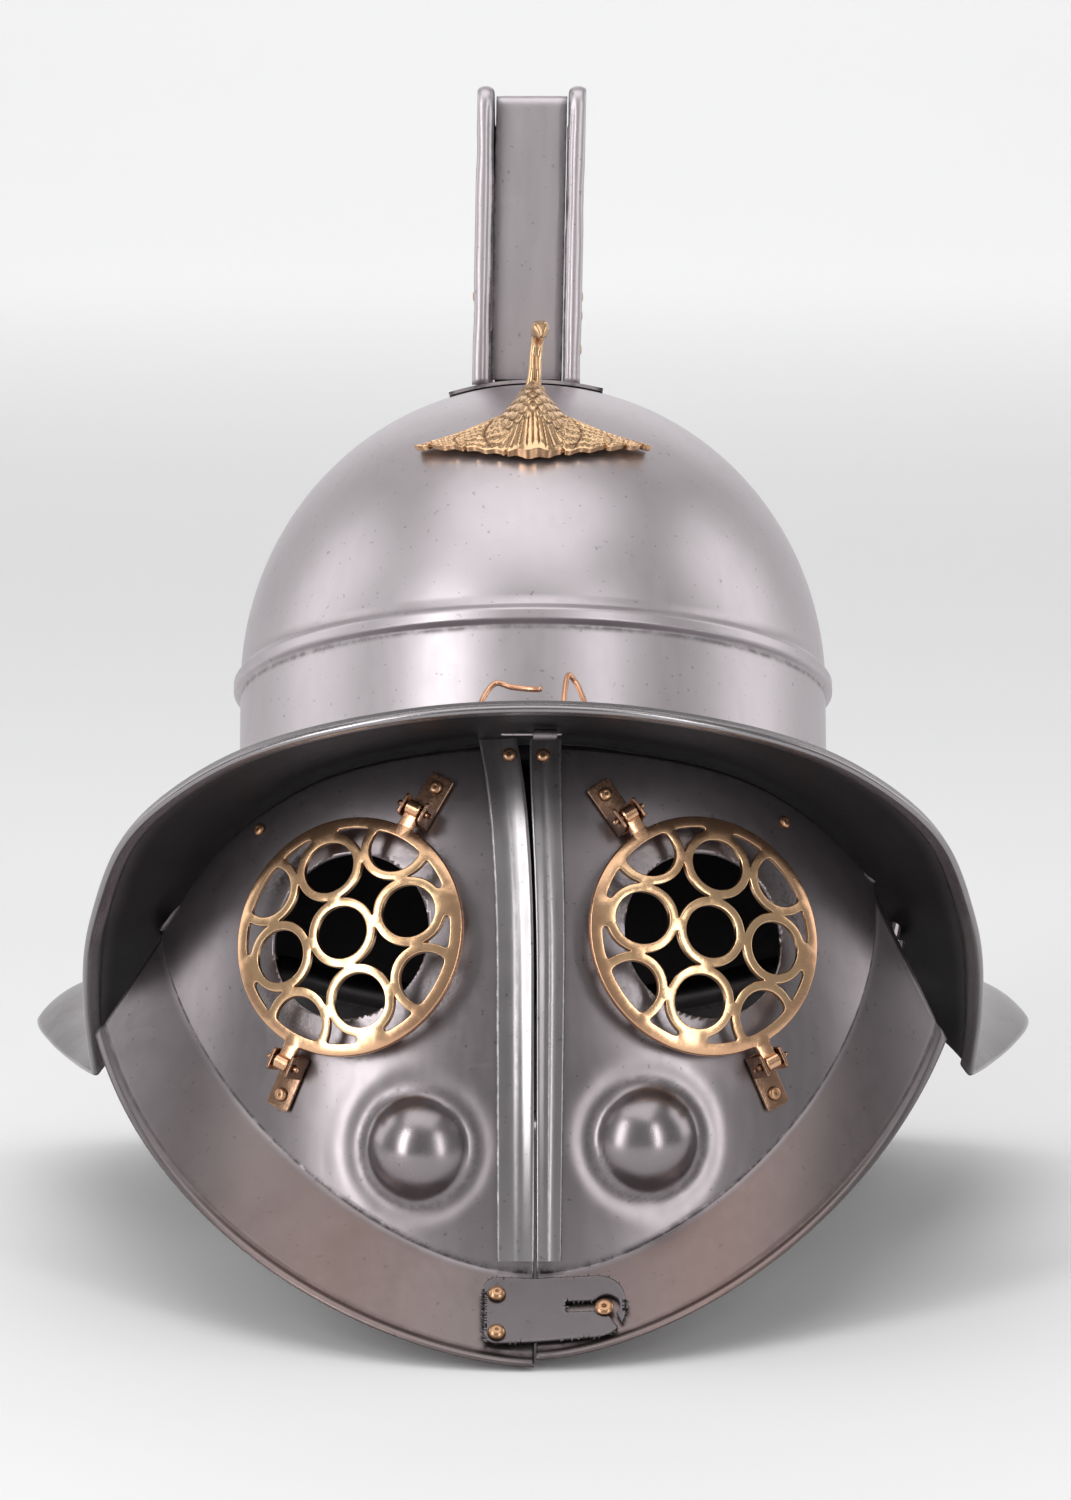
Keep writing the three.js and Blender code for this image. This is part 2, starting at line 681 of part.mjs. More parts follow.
function grilleShape(turns) {
  const rimInside = grilleRadius - grilleRim;
  const ring = ringHole + ringBand;
  const shape = new THREE.Shape();
  const earHalf = Math.asin(earWidth / 2 / grilleRadius) / degrees;
  const outline = [];
  turns.forEach((turn, n) => {
    const next = n ? turns[0] + 360 : turns[1];
    const way = new THREE.Vector2(Math.cos(turn * degrees), Math.sin(turn * degrees));
    const cross = new THREE.Vector2(-way.y, way.x);
    [-1, 1].forEach((sign) => outline.push(
      way.clone().multiplyScalar(grilleRadius + earReach).addScaledVector(cross, (sign * earWidth) / 2)));
    outline.push(...arcPoints(0, 0, grilleRadius, turn + earHalf, next - earHalf, 14));
  });
  shape.setFromPoints(outline);
  return { shape, rimInside, ring };
}

function grilleHoles(rimInside, ring, gridTurn) {
  const holes = [];
  const pitch = ringPitch;
  const corner = pitch * Math.SQRT2;
  const spreadAt = (radius) => Math.acos(
    (rimInside ** 2 + corner ** 2 - radius ** 2) / (2 * rimInside * corner)) / degrees;
  const cut = spreadAt(ringHole);
  const meet = spreadAt(ring);
  const neck = Math.sqrt(ring ** 2 - (pitch / 2) ** 2);
  const half = Math.atan2(pitch / 2, neck) / degrees;
  const bridge = 8;
  holes.push(arcPoints(0, 0, ringHole, 0, 330, 11));
  for (let quarter = 0; quarter < 4; quarter += 1) {
    const turned = (points) => points.map(
      (p) => p.clone().rotateAround(new THREE.Vector2(), (quarter * Math.PI) / 2));
    holes.push(turned(arcPoints(pitch, 0, ringHole, 0, 330, 11)));
    const chord = arcPoints(0, 0, rimInside, 45 - cut, 45 + cut, 3);
    const first = Math.atan2(chord[3].y - pitch, chord[3].x - pitch) / degrees;
    const final = Math.atan2(chord[0].y - pitch, chord[0].x - pitch) / degrees + 360;
    holes.push(turned([...chord, ...arcPoints(pitch, pitch, ringHole, first, final, 8).slice(1, -1)]));
    const span = 2 * half - 90;
    const diamond = [[0, 0, 45], [pitch, 0, 135], [pitch, pitch, 225], [0, pitch, 315]];
    holes.push(turned(diamond.flatMap(
      ([x, y, way]) => arcPoints(x, y, ring, way + span / 2, way - span / 2, 2).slice(0, -1))));
    [1, -1].forEach((sign) => {
      const along = Math.atan2(Math.sin(bridge * degrees),
        Math.cos(bridge * degrees) - pitch / rimInside) / degrees;
      const outside = arcPoints(0, 0, rimInside, bridge, 45 - meet, 2);
      const touch = outside[2];
      const cornerStart = Math.atan2(touch.y - pitch, touch.x - pitch) / degrees;
      const inward = arcPoints(pitch, pitch, ring, cornerStart, -half, 2).slice(1);
      const side = arcPoints(pitch, 0, ring, half, along, 3).slice(1);
      const points = [...outside, ...inward, ...side];
      const mirrored = sign > 0 ? points : points.map((p) => new THREE.Vector2(p.x, -p.y)).reverse();
      holes.push(turned(mirrored));
    });
  }
  const middle = new THREE.Vector2();
  return holes.map((points) => points.map((p) => p.clone().rotateAround(middle, gridTurn * degrees)));
}

const earTurns = { left: [61, 240], right: [124, 300] };
const gridTurns = { left: 14, right: -8 };

function grilleFrame(half) {
  const frame = eyeFrame(half);
  const shift = new THREE.Matrix4().makeTranslation(-half.side * grilleInward, -grilleDown, grilleStandoff);
  return frame.multiply(shift);
}

// A barrel on the z axis with a round bore, its end faces at plus and minus half its length.
function barrel(outside, bore, length, sides) {
  const profile = [[bore, -length / 2], [outside, -length / 2], [outside, length / 2], [bore, length / 2],
    [bore, -length / 2]];
  const points = profile.map(([x, y]) => new THREE.Vector2(x, y));
  return new THREE.LatheGeometry(points, sides).rotateX(Math.PI / 2);
}

// Where a grille's ear ends, in the grille's own frame, with its pin lying across it.
function earFrame(half, turn) {
  const way = vec(Math.cos(turn * degrees), Math.sin(turn * degrees), 0);
  const p = way.clone().multiplyScalar(grilleRadius + earReach + earBarrel * 0.6);
  p.z = grilleThickness / 2;
  return frameAt(way, vec(0, 0, 1), vec(way.y, -way.x, 0), p);
}

const pinClear = 0.35;

// Presses a flat disc outwards into a shallow dome that keeps its rim where it is.
function domed(geometry) {
  const position = geometry.getAttribute('position');
  for (let k = 0; k < position.count; k += 1) {
    const out = Math.hypot(position.getX(k), position.getY(k)) / grilleRadius;
    position.setZ(k, position.getZ(k) + grilleDome * Math.max(0, 1 - out ** 2));
  }
  return geometry;
}

function grilleGeometry(half) {
  const turns = earTurns[half.name];
  const { shape, rimInside, ring } = grilleShape(turns);
  grilleHoles(rimInside, ring, gridTurns[half.name]).forEach(
    (points) => shape.holes.push(new THREE.Path().setFromPoints(points)));
  const disc = new THREE.ExtrudeGeometry(shape, { depth: grilleThickness, bevelEnabled: false });
  let solid = toSolid(domed(disc));
  turns.forEach((turn) => {
    const ear = earFrame(half, turn);
    const bored = barrel(earBarrel, grillePinRadius + pinClear, earWidth, 10).applyMatrix4(ear);
    const bore = drill(ear, grillePinRadius + pinClear, 10, 3 * earWidth);
    solid = solid.subtract(bore).add(toSolid(bored));
  });
  return fromSolid(solid).applyMatrix4(grilleFrame(half));
}

// Bracket: a strip on the plate under the ear, with a pierced fin bent up on each side of the ear
function bracketFrame(half, turn) {
  const ear = grilleFrame(half).multiply(earFrame(half, turn));
  const centre = vec(0, 0, 0).applyMatrix4(ear);
  const foot = faceAt(centre.x, centre.z);
  const normal = faceNormal(foot.x, foot.z);
  const way = vec(1, 0, 0).transformDirection(ear);
  return { ear, centre, frame: frameOn(foot, normal, way), normal };
}

function plateBox(lengthX, lengthY, lengthZ, x, y, z, matrix) {
  const geometry = new THREE.BoxGeometry(lengthX, lengthY, lengthZ);
  geometry.translate(x, y, z);
  geometry.applyMatrix4(matrix);
  return toSolid(geometry);
}

function bracket(half, turn, place) {
  const { ear, frame, normal } = bracketFrame(half, turn);
  const name = `${half.name}_${place}`;
  const inverse = frame.clone().invert();
  const centre = vec(0, 0, 0).applyMatrix4(ear).applyMatrix4(inverse);
  const height = centre.z + earBarrel * 0.9;
  const base = seat + 0.35;
  const length = finLength + bracketTail;
  const middle = length / 2 - finLength / 2;
  const sole = base + bracketSheet / 2;
  let solid = plateBox(length, bracketWidth, bracketSheet, centre.x + middle, centre.y, sole, frame);
  [-1, 1].forEach((sign) => {
    const y = centre.y + sign * (bracketWidth / 2 - bracketSheet / 2);
    const fin = plateBox(finLength, bracketSheet, height - base, centre.x, y, (height + base) / 2, frame);
    solid = solid.add(fin);
  });
  const bore = new THREE.CylinderGeometry(grillePinRadius + pinClear, grillePinRadius + pinClear, 30, 10);
  bore.rotateX(Math.PI / 2).applyMatrix4(ear);
  add(`bracket_${name}`, fromSolid(solid.subtract(toSolid(bore))), bronze);
  const pin = new THREE.CylinderGeometry(grillePinRadius, grillePinRadius, bracketWidth + 4, 8);
  pin.rotateX(Math.PI / 2).applyMatrix4(ear);
  add(`grille_pin_${name}`, fromSolid(toSolid(pin)), bronze);
  const top = base + bracketSheet;
  const at = vec(centre.x + finLength / 2 + bracketTail * 0.6, centre.y, top).applyMatrix4(frame);
  rivet(`bracket_rivet_${name}`, at, normal, brass, 2.4, 1.5);
}

// Axes of a temple pin: the third along the pin, whose top leans forward and outward, so that a
// half drops clear of the brim as it opens.
function hingeFrame(middle) {
  const out = Math.sign(middle.x) * Math.sin(hingeSplay * degrees);
  const up = vec(out, -Math.sin(hingeLean * degrees), Math.cos(hingeLean * degrees)).normalize();
  return frameOn(middle, up, vec(1, 0, 0));
}

// Hinge strap: a band inside the plate from its rivet back to a barrel round the temple pin
function hingeStrap(half) {
  const stations = [0, 0.2, 0.4, 0.6, 0.8, 1];
  const from = half.strapFrom;
  const to = { x: 0.5 * (hingeSide + 128), z: 74 };
  const grids = [strapGap, strapGap + 1.5].map((depth) => stations.map((t) => [-0.5, 0, 0.5].map((up) => {
    const x = half.side * mix(from.x, to.x, t ** 0.85);
    const z = -mix(from.z, to.z, t ** 1.2) + up * hingeStrapWidth;
    return faceAt(x, z).addScaledVector(faceNormal(x, z), -sheet - depth);
  })));
  let solid = toSolid(sheetBody(grids[0], grids[1]));
  const middle = vec(half.side * hingeSide, -hingeForward, -to.z);
  const axis = hingeFrame(middle);
  const round = barrel(hingeBarrel, hingePinRadius + pinClear, hingeBarrelHeight, 14).applyMatrix4(axis);
  const bore = drill(axis, hingePinRadius + pinClear, 14);
  const end = stations.length - 1;
  const root = grids[1][end][1].clone();
  const way = root.clone().sub(middle).setZ(0);
  const reach = way.length() - 0.4;
  way.normalize();
  const webFrame = frameAt(way, vec(0, 0, 1).cross(way), vec(0, 0, 1), middle);
  const web = plateBox(reach, 3, hingeStrapWidth - 2, reach / 2, 0, 0, webFrame);
  solid = solid.add(web).add(toSolid(round)).subtract(bore);
  add(`hinge_strap_${half.name}`, fromSolid(solid), darkSteel);
  const head = faceAt(half.side * from.x, -from.z + 3);
  rivet(`hinge_rivet_${half.name}`, head, faceNormal(head.x, head.z), brass, 2.2, 1.5);
  return middle;
}

// Temple pin: hangs from the underside of the brim through the strap's barrel, with a head below it
function hingePin(half, middle) {
  const sides = 12;
  const axis = hingeFrame(middle);
  const ring = (radius, height) => Array.from({ length: sides }, (_, k) => {
    const turn = (2 * Math.PI * k) / sides;
    return vec(radius * Math.cos(turn), radius * Math.sin(turn), height).applyMatrix4(axis);
  });
  const underBrim = (p) => {
    const up = vec(0, 0, 1).transformDirection(axis);
    for (let k = 0; k < 6; k += 1) {
      p.addScaledVector(up, brimZ(p.x, p.y, -sheet - 1.5 * seat) - p.z);
    }
    return p;
  };
  const head = -hingeBarrelHeight / 2 - seat;
  const wide = 1.9 * hingePinRadius;
  const rings = [ring(wide, head - 2), ring(wide, head), ring(hingePinRadius, head),
    ring(hingePinRadius, 0).map(underBrim)];
  const solid = toSolid(ringBody(rings));
  add(`hinge_pin_${half.name}`, fromSolid(solid), darkSteel);
}

halves.forEach((half) => {
  add(`visor_plate_${half.name}`, plateGeometry(half), darkSteel);
  add(`seam_strip_${half.name}`, stripGeometry(half), brushed);
  const z = topEdge(0) - 4;
  const x = seamEdge(half.side, z) + half.side * half.rivetIn;
  const n = faceNormal(x, z);
  rivet(`seam_rivet_${half.name}`, faceAt(x, z).addScaledVector(n, sheet + stripSeat + half.rivetLift), n, brass, 2.4, 1.7);
  add(`grille_${half.name}`, grilleGeometry(half), brass);
  bracket(half, earTurns[half.name][0], 'upper');
  bracket(half, earTurns[half.name][1], 'lower');
  hingePin(half, hingeStrap(half));
});

// Chin latch: a plate riveted to the left flange, its keyhole over the stud on the right one
const latchTop = 0.19;
const latchBottom = 0.875;
const latchStudDown = 0.53;
const latchStudLow = 0.025;
const latchLift = 1.4;
const flangeSlope = 0.55;

// A point over both halves' flanges at a distance sideways and a share down from the crease.
function flangeAt(x, down, lift) {
  const [a, b] = halves.map((half) => {
    const across = Math.asin(Math.abs(x) / flangeHalfWidth) / degrees / half.edgeAngle;
    return halfPoint(half, across, 1 + down);
  });
  const slope = vec(0, -Math.cos(flangeSlope), Math.sin(flangeSlope));
  return vec(x, Math.min(a.y, b.y), (a.z + b.z) / 2).addScaledVector(slope, lift);
}

function latchGeometry() {
  const columns = [0, 0.05, 0.25, 0.42, 0.62, 0.8, 0.93, 1];
  const grids = [latchLift + sheet, latchLift].map((lift) => columns.map((t) => {
    const x = mix(-latchLeft, latchRight, t);
    const round = Math.max(0, (t - 0.8) / 0.2) ** 2 * 0.16 + (t === 0 ? 0.03 : 0);
    return [0, 0.33, 0.67, 1].map((s) => flangeAt(x, mix(latchTop + round, latchBottom - round, s), lift));
  }));
  const at = flangeAt(latchStudSide, latchStudDown, latchLift);
  const normal = flangeNormal(latchStudSide);
  const frame = frameOn(at, normal, vec(1, 0, 0));
  const slotStart = -latchHole - latchSlotLength;
  const slotLength = latchHole + latchSlotLength;
  const slotMiddle = slotStart + slotLength / 2;
  const slot = plateBox(slotLength, latchSlotHeight, latchCutDepth, slotMiddle, 0, 0, frame);
  const slitFrame = frame.clone().multiply(new THREE.Matrix4().makeRotationZ(-62 * degrees));
  const slit = plateBox(
    latchSlitLength, latchSlit, latchCutDepth, latchSlitLength / 2, 0, 0, slitFrame);
  const round = drill(frame, latchHole, 18, latchCutDepth);
  return fromSolid(toSolid(sheetBody(grids[0], grids[1])).subtract(slot).subtract(round).subtract(slit));
}

function flangeNormal(x) {
  const p = flangeAt(x, latchStudDown, 0);
  const along = flangeAt(x + 0.5, latchStudDown, 0).sub(p);
  const down = flangeAt(x, latchStudDown + 0.02, 0).sub(p);
  return down.cross(along).normalize();
}

add('latch_plate', latchGeometry(), darkSteel);
[['upper', 0.33], ['lower', 0.76]].forEach(([place, down]) => {
  const p = flangeAt(-latchLeft + 4.2, down, latchLift + sheet);
  rivet(`latch_rivet_${place}`, p, flangeNormal(-latchLeft + 4.2), brass, 3, 2);
});
{
  const n = flangeNormal(latchStudSide);
  const p = flangeAt(latchStudSide - 0.7, latchStudDown + latchStudLow, 0.5);
  const profile = [[0, 0], [1.9, 0], [1.9, 0.55 * studRise], [studHead, 0.6 * studRise],
    [0.8 * studHead, 0.9 * studRise], [0, studRise]];
  const geometry = new THREE.LatheGeometry(profile.map(([x, y]) => new THREE.Vector2(x, y)), 12);
  geometry.rotateX(Math.PI / 2).applyMatrix4(frameOn(p.addScaledVector(n, seat), n, vec(1, 0, 0)));
  add('latch_stud', fromSolid(toSolid(geometry)), brass);
}

// Crest: a hollow box of two side sheets with rolled edges, a strip set back between them and a saddle
const crestSide = crestWidth / 2 - crestRoll;
const saddleSeat = 0.6;
const saddleLift = saddleSeat + sheet;
const crestX = (z) => crestShift + crestLean * (z - crestTop);

// Edge line of the crest in its own plane: up the front, round the corner and back down to the tail.
function crestEdge(inset) {
  const line = new THREE.CurvePath();
  const v2 = (y, z) => vec(0, y, z);
  const roll = crestRoll + inset;
  const lean = crestLeanForward / (crestTop - domeZ(0, crestFoot));
  const foot = v2(-crestFoot + roll, domeZ(crestSide, crestFoot) + saddleLift + crestRoll + seat);
  const corner = v2(-crestFoot - crestLeanForward + roll, crestTop - crestRoll - 0.3 * inset);
  const soft = 7;
  const before = v2(corner.y + lean * soft, corner.z - soft);
  const after = v2(corner.y + soft, corner.z - 0.4);
  const tailZ = domeZ(crestSide, crestTail) + crestTailHeight;
  const tail = v2(crestTail - 1.6 * inset, tailZ - 0.4 * inset);
  line.add(new THREE.LineCurve3(foot, before));
  line.add(new THREE.QuadraticBezierCurve3(before, corner, after));
  line.add(new THREE.CubicBezierCurve3(after, v2(mix(corner.y, tail.y, 0.42), corner.z - 1),
    v2(mix(corner.y, tail.y, 0.93), mix(tail.z, corner.z, 0.62)), tail));
  return [...line.curves[0].getPoints(3), ...line.curves[1].getPoints(3).slice(1),
    ...line.curves[2].getPoints(11).slice(1)];
}

const leanPoint = (p) => p.setX(p.x + crestX(p.z));

function crestSideGeometry(side) {
  const edge = crestEdge(0);
  const first = edge[0].y;
  const final = edge[edge.length - 1].y;
  const bottom = Array.from({ length: 13 }, (_, k) => {
    const y = mix(final, first, k / 12);
    const inner = crestSide - sheet + side * crestX(domeZ(crestSide, y));
    return vec(0, y, overDome(inner, y, saddleLift + 2 * seat));
  });
  const outline = [...edge, ...bottom].map((p) => new THREE.Vector2(p.y, p.z));
  const plate = new THREE.ExtrudeGeometry(new THREE.Shape(outline), { depth: sheet, bevelEnabled: false });
  const middle = side * crestSide - sheet / 2;
  plate.applyMatrix4(frameAt(vec(0, 1, 0), vec(0, 0, 1), vec(1, 0, 0), vec(middle, 0, 0)));
  const bead = rod(edge.map((p) => vec(side * crestSide, p.y, p.z)), crestRoll, 8);
  const solid = toSolid(plate).add(toSolid(bead));
  return fromSolid(solid);
}

function leanGeometry(geometry) {
  const position = geometry.getAttribute('position');
  for (let k = 0; k < position.count; k += 1) {
    const p = leanPoint(vec().fromBufferAttribute(position, k));
    position.setXYZ(k, p.x, p.y, p.z);
  }
  geometry.computeVertexNormals();
  return geometry;
}

function crestStripGeometry() {
  const half = crestSide - crestRoll - seat;
  const edges = [crestStripInset, crestStripInset + sheet].map((inset) => crestEdge(inset));
  const grids = edges.map((edge) => edge.map((p) => {
    const low = overDome(0, p.y, saddleLift + 2 * seat);
    return [-half, half].map((x) => vec(x, p.y, Math.max(p.z, low)));
  }));
  return sheetBody(grids[0], grids[1]);
}

function crestBaseGeometry() {
  const rows = 13;
  const half = crestBaseWidth / 2;
  const from = Math.asin((-crestFoot - 3) / bowlHalfLength);
  const to = Math.asin((crestTail + 1) / bowlHalfLength);
  const grids = [saddleLift, saddleSeat].map((out) => Array.from({ length: rows + 1 }, (_, i) => {
    const y = bowlHalfLength * Math.sin(mix(from, to, i / rows));
    const room = bowlHalfWidth * Math.sqrt(Math.max(0, 1 - (y / bowlHalfLength) ** 2 - 0.02));
    const width = Math.min(half, room);
    return [-1, -0.67, -0.33, 0, 0.33, 0.67, 1].map((s) => onDome(crestX(domeZ(0, y)) + s * width, y, out));
  }));
  return sheetBody(grids[0], grids[1]);
}

add('crest_side_left', leanGeometry(crestSideGeometry(-1)), brushed);
add('crest_side_right', leanGeometry(crestSideGeometry(1)), brushed);
add('crest_strip', leanGeometry(crestStripGeometry()), brushed);
add('crest_base', crestBaseGeometry(), brushed);
[-1, 1].forEach((side) => {
  for (let k = 0; k < crestRivetCount; k += 1) {
    const t = (k + 0.5) / crestRivetCount;
    const y = mix(-crestFoot - 12, crestTail - 42, t);
    const z = mix(domeZ(0, y) + 34, domeZ(0, y) + 24, t);
    const x = crestX(z) + side * (crestSide + sheet / 2);
    rivet(`crest_rivet_${side < 0 ? 'left' : 'right'}_${k + 1}`, vec(x, y, z), vec(side, 0, 0), brass,
      rivetRadius, crestRivetRise);
  }
});

// Bird: spread wings and tail lying on the dome, with a thin neck rising to a bowed head
function birdGeometry() {
  const half = birdSpan / 2;
  const spans = [-1, -0.8, -0.6, -0.42, -0.26, -0.14, -0.05, 0, 0.05, 0.14, 0.26, 0.42, 0.6, 0.8, 1];
  const lead = (s) => -mix(birdBack, birdFront * 0.825, Math.min(1, (Math.abs(s) / 0.27) ** 0.75))
    - (Math.abs(s) > 0.27 ? 3.5 * Math.sin((Math.PI * (Math.abs(s) - 0.27)) / 0.73) : 0);
  const trail = (s) => -birdFront + 15 * Math.abs(s) ** 1.7 + 1.2 * Math.cos(9 * Math.PI * s);
  const rise = (s, t) => birdWing * (0.7 + 0.3 * Math.sin(Math.PI * t))
    + birdBody * Math.exp(-((s / 0.17) ** 2)) * Math.sin(Math.PI * (0.12 + 0.76 * t));
  const shares = [0, 0.2, 0.42, 0.64, 0.84, 1];
  const point = (s, t, out) => onDome(s * half, mix(lead(s), trail(s), t), out);
  const lift = (s, t) => 2 * seat + 2.6 * t * t * (0.4 + 0.6 * Math.abs(s));
  const outer = spans.map((s) => shares.map((t) => point(s, t, lift(s, t) + rise(s, t))));
  const inner = spans.map((s) => shares.map((t) => point(s, t, lift(s, t))));
  const root = onDome(0, -birdBack - 6, birdWing);
  const neck = new THREE.CatmullRomCurve3([
    root,
    root.clone().add(vec(0.6, -2.5, birdNeckHeight * 0.3)),
    root.clone().add(vec(0.9, -1.5, birdNeckHeight * 0.62)),
    root.clone().add(vec(1.6, -3.5, birdNeckHeight * 0.88)),
    root.clone().add(vec(2.4, -8.5, birdNeckHeight)),
    root.clone().add(vec(2.8, -13, birdNeckHeight * 0.9)),
    root.clone().add(vec(3, -17, birdNeckHeight * 0.72)),
  ]);
  const headSize = (t) => (t > 0.93 ? 0.5 : 1.5);
  const thick = (t) => birdNeck * (1.5 - 1.4 * t * (1.3 - t)) * (t > 0.6 ? headSize(t) : 1);
  const stem = rod(neck.getPoints(12), thick, 6);
  return fromSolid(toSolid(sheetBody(outer, inner)).add(toSolid(stem)));
}

add('bird', birdGeometry(), brass);

// Lug under the brim's front with its pin, and the two wires that lie on the brim above it
{
  const y = -(faceSetForward + faceDepth + lugForward);
  const lugX = 4;
  const z = brimZ(lugX, y, -sheet - 2 * seat) - lugRadius;
  const lug = barrel(lugRadius, 0.8, lugWidth, 10);
  lug.applyMatrix4(frameAt(vec(0, 1, 0), vec(0, 0, 1), vec(1, 0, 0), vec(lugX, y, z)));
  add('brim_lug', fromSolid(toSolid(lug)), darkSteel);
  const pin = new THREE.CylinderGeometry(0.5, 0.5, 20, 8);
  pin.rotateZ(Math.PI / 2).translate(-0.5, y, z);
  add('lug_pin', fromSolid(toSolid(pin)), brushed);
}

function wire(name, stations) {
  const points = stations.map(([x, y, up]) => vec(x, y, brimZ(x, y, seat + wireRadius) + up));
  const curve = new THREE.CatmullRomCurve3(points);
  add(name, fromSolid(toSolid(rod(curve.getPoints(stations.length * 2), wireRadius, 6))), copper);
}

wire('brim_wire_left', [
  [-17, -162, 0], [-16.6, -158, 5.5], [-12.5, -154, 11.6], [-7, -154.5, 10.2], [-1, -156, 9.2], [3, -158, 8.8],
]);
wire('brim_wire_right', [
  [10, -163, 0], [10.4, -158, 8], [11.6, -153, 14.6], [14.2, -152, 12.2], [16.3, -155, 7], [18.5, -161, 0],
]);

// Resting attitude: the helmet lies on its chin and on the rim of the neck guard
const vertices = [];
helmet.traverse((part) => {
  if (part.isMesh) {
    const position = part.geometry.getAttribute('position');
    for (let k = 0; k < position.count; k += 1) {
      vertices.push([position.getY(k), position.getZ(k)]);
    }
  }
});
let tilt = 0.35;
for (let round = 0; round < 6; round += 1) {
  const height = ([y, z]) => z * Math.cos(tilt) - y * Math.sin(tilt);
  const chin = vertices.filter(([y]) => y < 0).reduce((low, p) => (height(p) < height(low) ? p : low));
  const behind = vertices.filter(([y]) => y > bowlHalfLength / 2);
  const slopes = behind.map(([y, z]) => Math.atan2(z - chin[1], y - chin[0]));
  tilt = Math.min(...slopes);
}
helmet.rotation.x = -tilt;
helmet.updateMatrixWorld(true);
const box = new THREE.Box3().setFromObject(helmet, true);
helmet.position.set(-(box.min.x + box.max.x) / 2, -(box.min.y + box.max.y) / 2, -box.min.z);

export default helmet;
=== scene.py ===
import bmesh
import bpy
import numpy as np
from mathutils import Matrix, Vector
from mathutils.geometry import delaunay_2d_cdt


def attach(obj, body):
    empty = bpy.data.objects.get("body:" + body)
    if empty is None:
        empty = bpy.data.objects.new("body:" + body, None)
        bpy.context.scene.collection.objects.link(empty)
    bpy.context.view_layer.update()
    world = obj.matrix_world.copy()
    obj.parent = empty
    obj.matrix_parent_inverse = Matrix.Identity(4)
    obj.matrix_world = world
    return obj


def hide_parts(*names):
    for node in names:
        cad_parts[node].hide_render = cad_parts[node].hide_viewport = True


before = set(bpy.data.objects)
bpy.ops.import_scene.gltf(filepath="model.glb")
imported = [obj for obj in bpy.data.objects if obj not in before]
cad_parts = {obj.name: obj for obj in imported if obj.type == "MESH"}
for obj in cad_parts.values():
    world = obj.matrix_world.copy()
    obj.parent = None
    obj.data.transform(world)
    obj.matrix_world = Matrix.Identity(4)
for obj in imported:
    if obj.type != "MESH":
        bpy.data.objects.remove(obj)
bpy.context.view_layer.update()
print("frame in")

# how the helmet lies: tipped back, then moved over the middle of its base (degrees, mm)
rest = {"tilt": 21.498, "shiftY": 37.989, "shiftZ": 155.976}


def toRow(points):
    # y' = y cos t + z sin t + shiftY, z' = z cos t - y sin t + shiftZ, then mm to metres
    t = np.radians(rest["tilt"])
    x, y, z = points[..., 0], points[..., 1], points[..., 2]
    ahead = y * np.cos(t) + z * np.sin(t) + rest["shiftY"]
    up = z * np.cos(t) - y * np.sin(t) + rest["shiftZ"]
    return np.stack([x, ahead, up], -1) / 1000


def vec(*values):
    return np.array(values, float)


def unit(v):
    return v / np.maximum(np.linalg.norm(v, axis=-1, keepdims=True), 1e-12)


def mix(a, b, t):
    return a + (b - a) * t


def smooth(low, high, v):
    # 0 below low, 1 above high, 3t2 - 2t3 between
    t = np.clip((v - low) / (high - low), 0, 1)
    return t * t * (3 - 2 * t)


def bell(v, middle, width):
    # exp(-((v - middle) / width)^2)
    return np.exp(-(((v - middle) / width) ** 2))


# meshes from grids of points
def gridFaces(rows, cols, wrapRows=False, wrapCols=False):
    # quad (i, j), (i+1, j), (i+1, j+1), (i, j+1), with indices taken round where the grid closes
    i, j = np.meshgrid(np.arange(rows - (not wrapRows)), np.arange(cols - (not wrapCols)), indexing="ij")
    at = lambda a, b: (a % rows) * cols + b % cols
    return np.stack([at(i, j), at(i + 1, j), at(i + 1, j + 1), at(i, j + 1)], -1).reshape(-1, 4)


def normalsOf(grid, wrapRows=False):
    # cross product of the steps to the neighbours along the two directions
    if wrapRows:
        along = np.roll(grid, -1, 0) - np.roll(grid, 1, 0)
    else:
        along = np.gradient(grid, axis=0)
    return unit(np.cross(along, np.gradient(grid, axis=1)))


def signedVolume(points, quads, tris):
    # sum of a . (b x c) over all triangles, six times the volume
    fans = [tris] if len(tris) else []
    if len(quads):
        fans += [quads[:, [0, 1, 2]], quads[:, [0, 2, 3]]]
    t = points[np.concatenate(fans)]
    return np.einsum("ij,ij->i", t[:, 0], np.cross(t[:, 1], t[:, 2])).sum()


def makePiece(name, points, quads, tris=(), marks=None, closed=True, away=None, sharp=None):
    quads = np.asarray(quads, int).reshape(-1, 4)
    tris = np.asarray(tris, int).reshape(-1, 3)
    points = points.reshape(-1, 3)
    centre = points.mean(0) if closed else away
    if signedVolume(points - centre, quads, tris) < 0:
        quads, tris = quads[:, ::-1], tris[:, ::-1]
    mesh = bpy.data.meshes.new(name)
    mesh.from_pydata(toRow(points).tolist(), [], quads.tolist() + tris.tolist())
    mesh.polygons.foreach_set("use_smooth", np.ones(len(mesh.polygons), bool))
    if sharp is not None:
        mesh.set_sharp_from_angle(angle=np.radians(sharp))
    for mark, values in (marks or {}).items():
        layer = mesh.attributes.new(mark, "FLOAT", "POINT")
        layer.data.foreach_set("value", np.ravel(values).astype(np.float32))
    mesh.update()
    piece = bpy.data.objects.new(name, mesh)
    bpy.context.collection.objects.link(piece)
    return piece


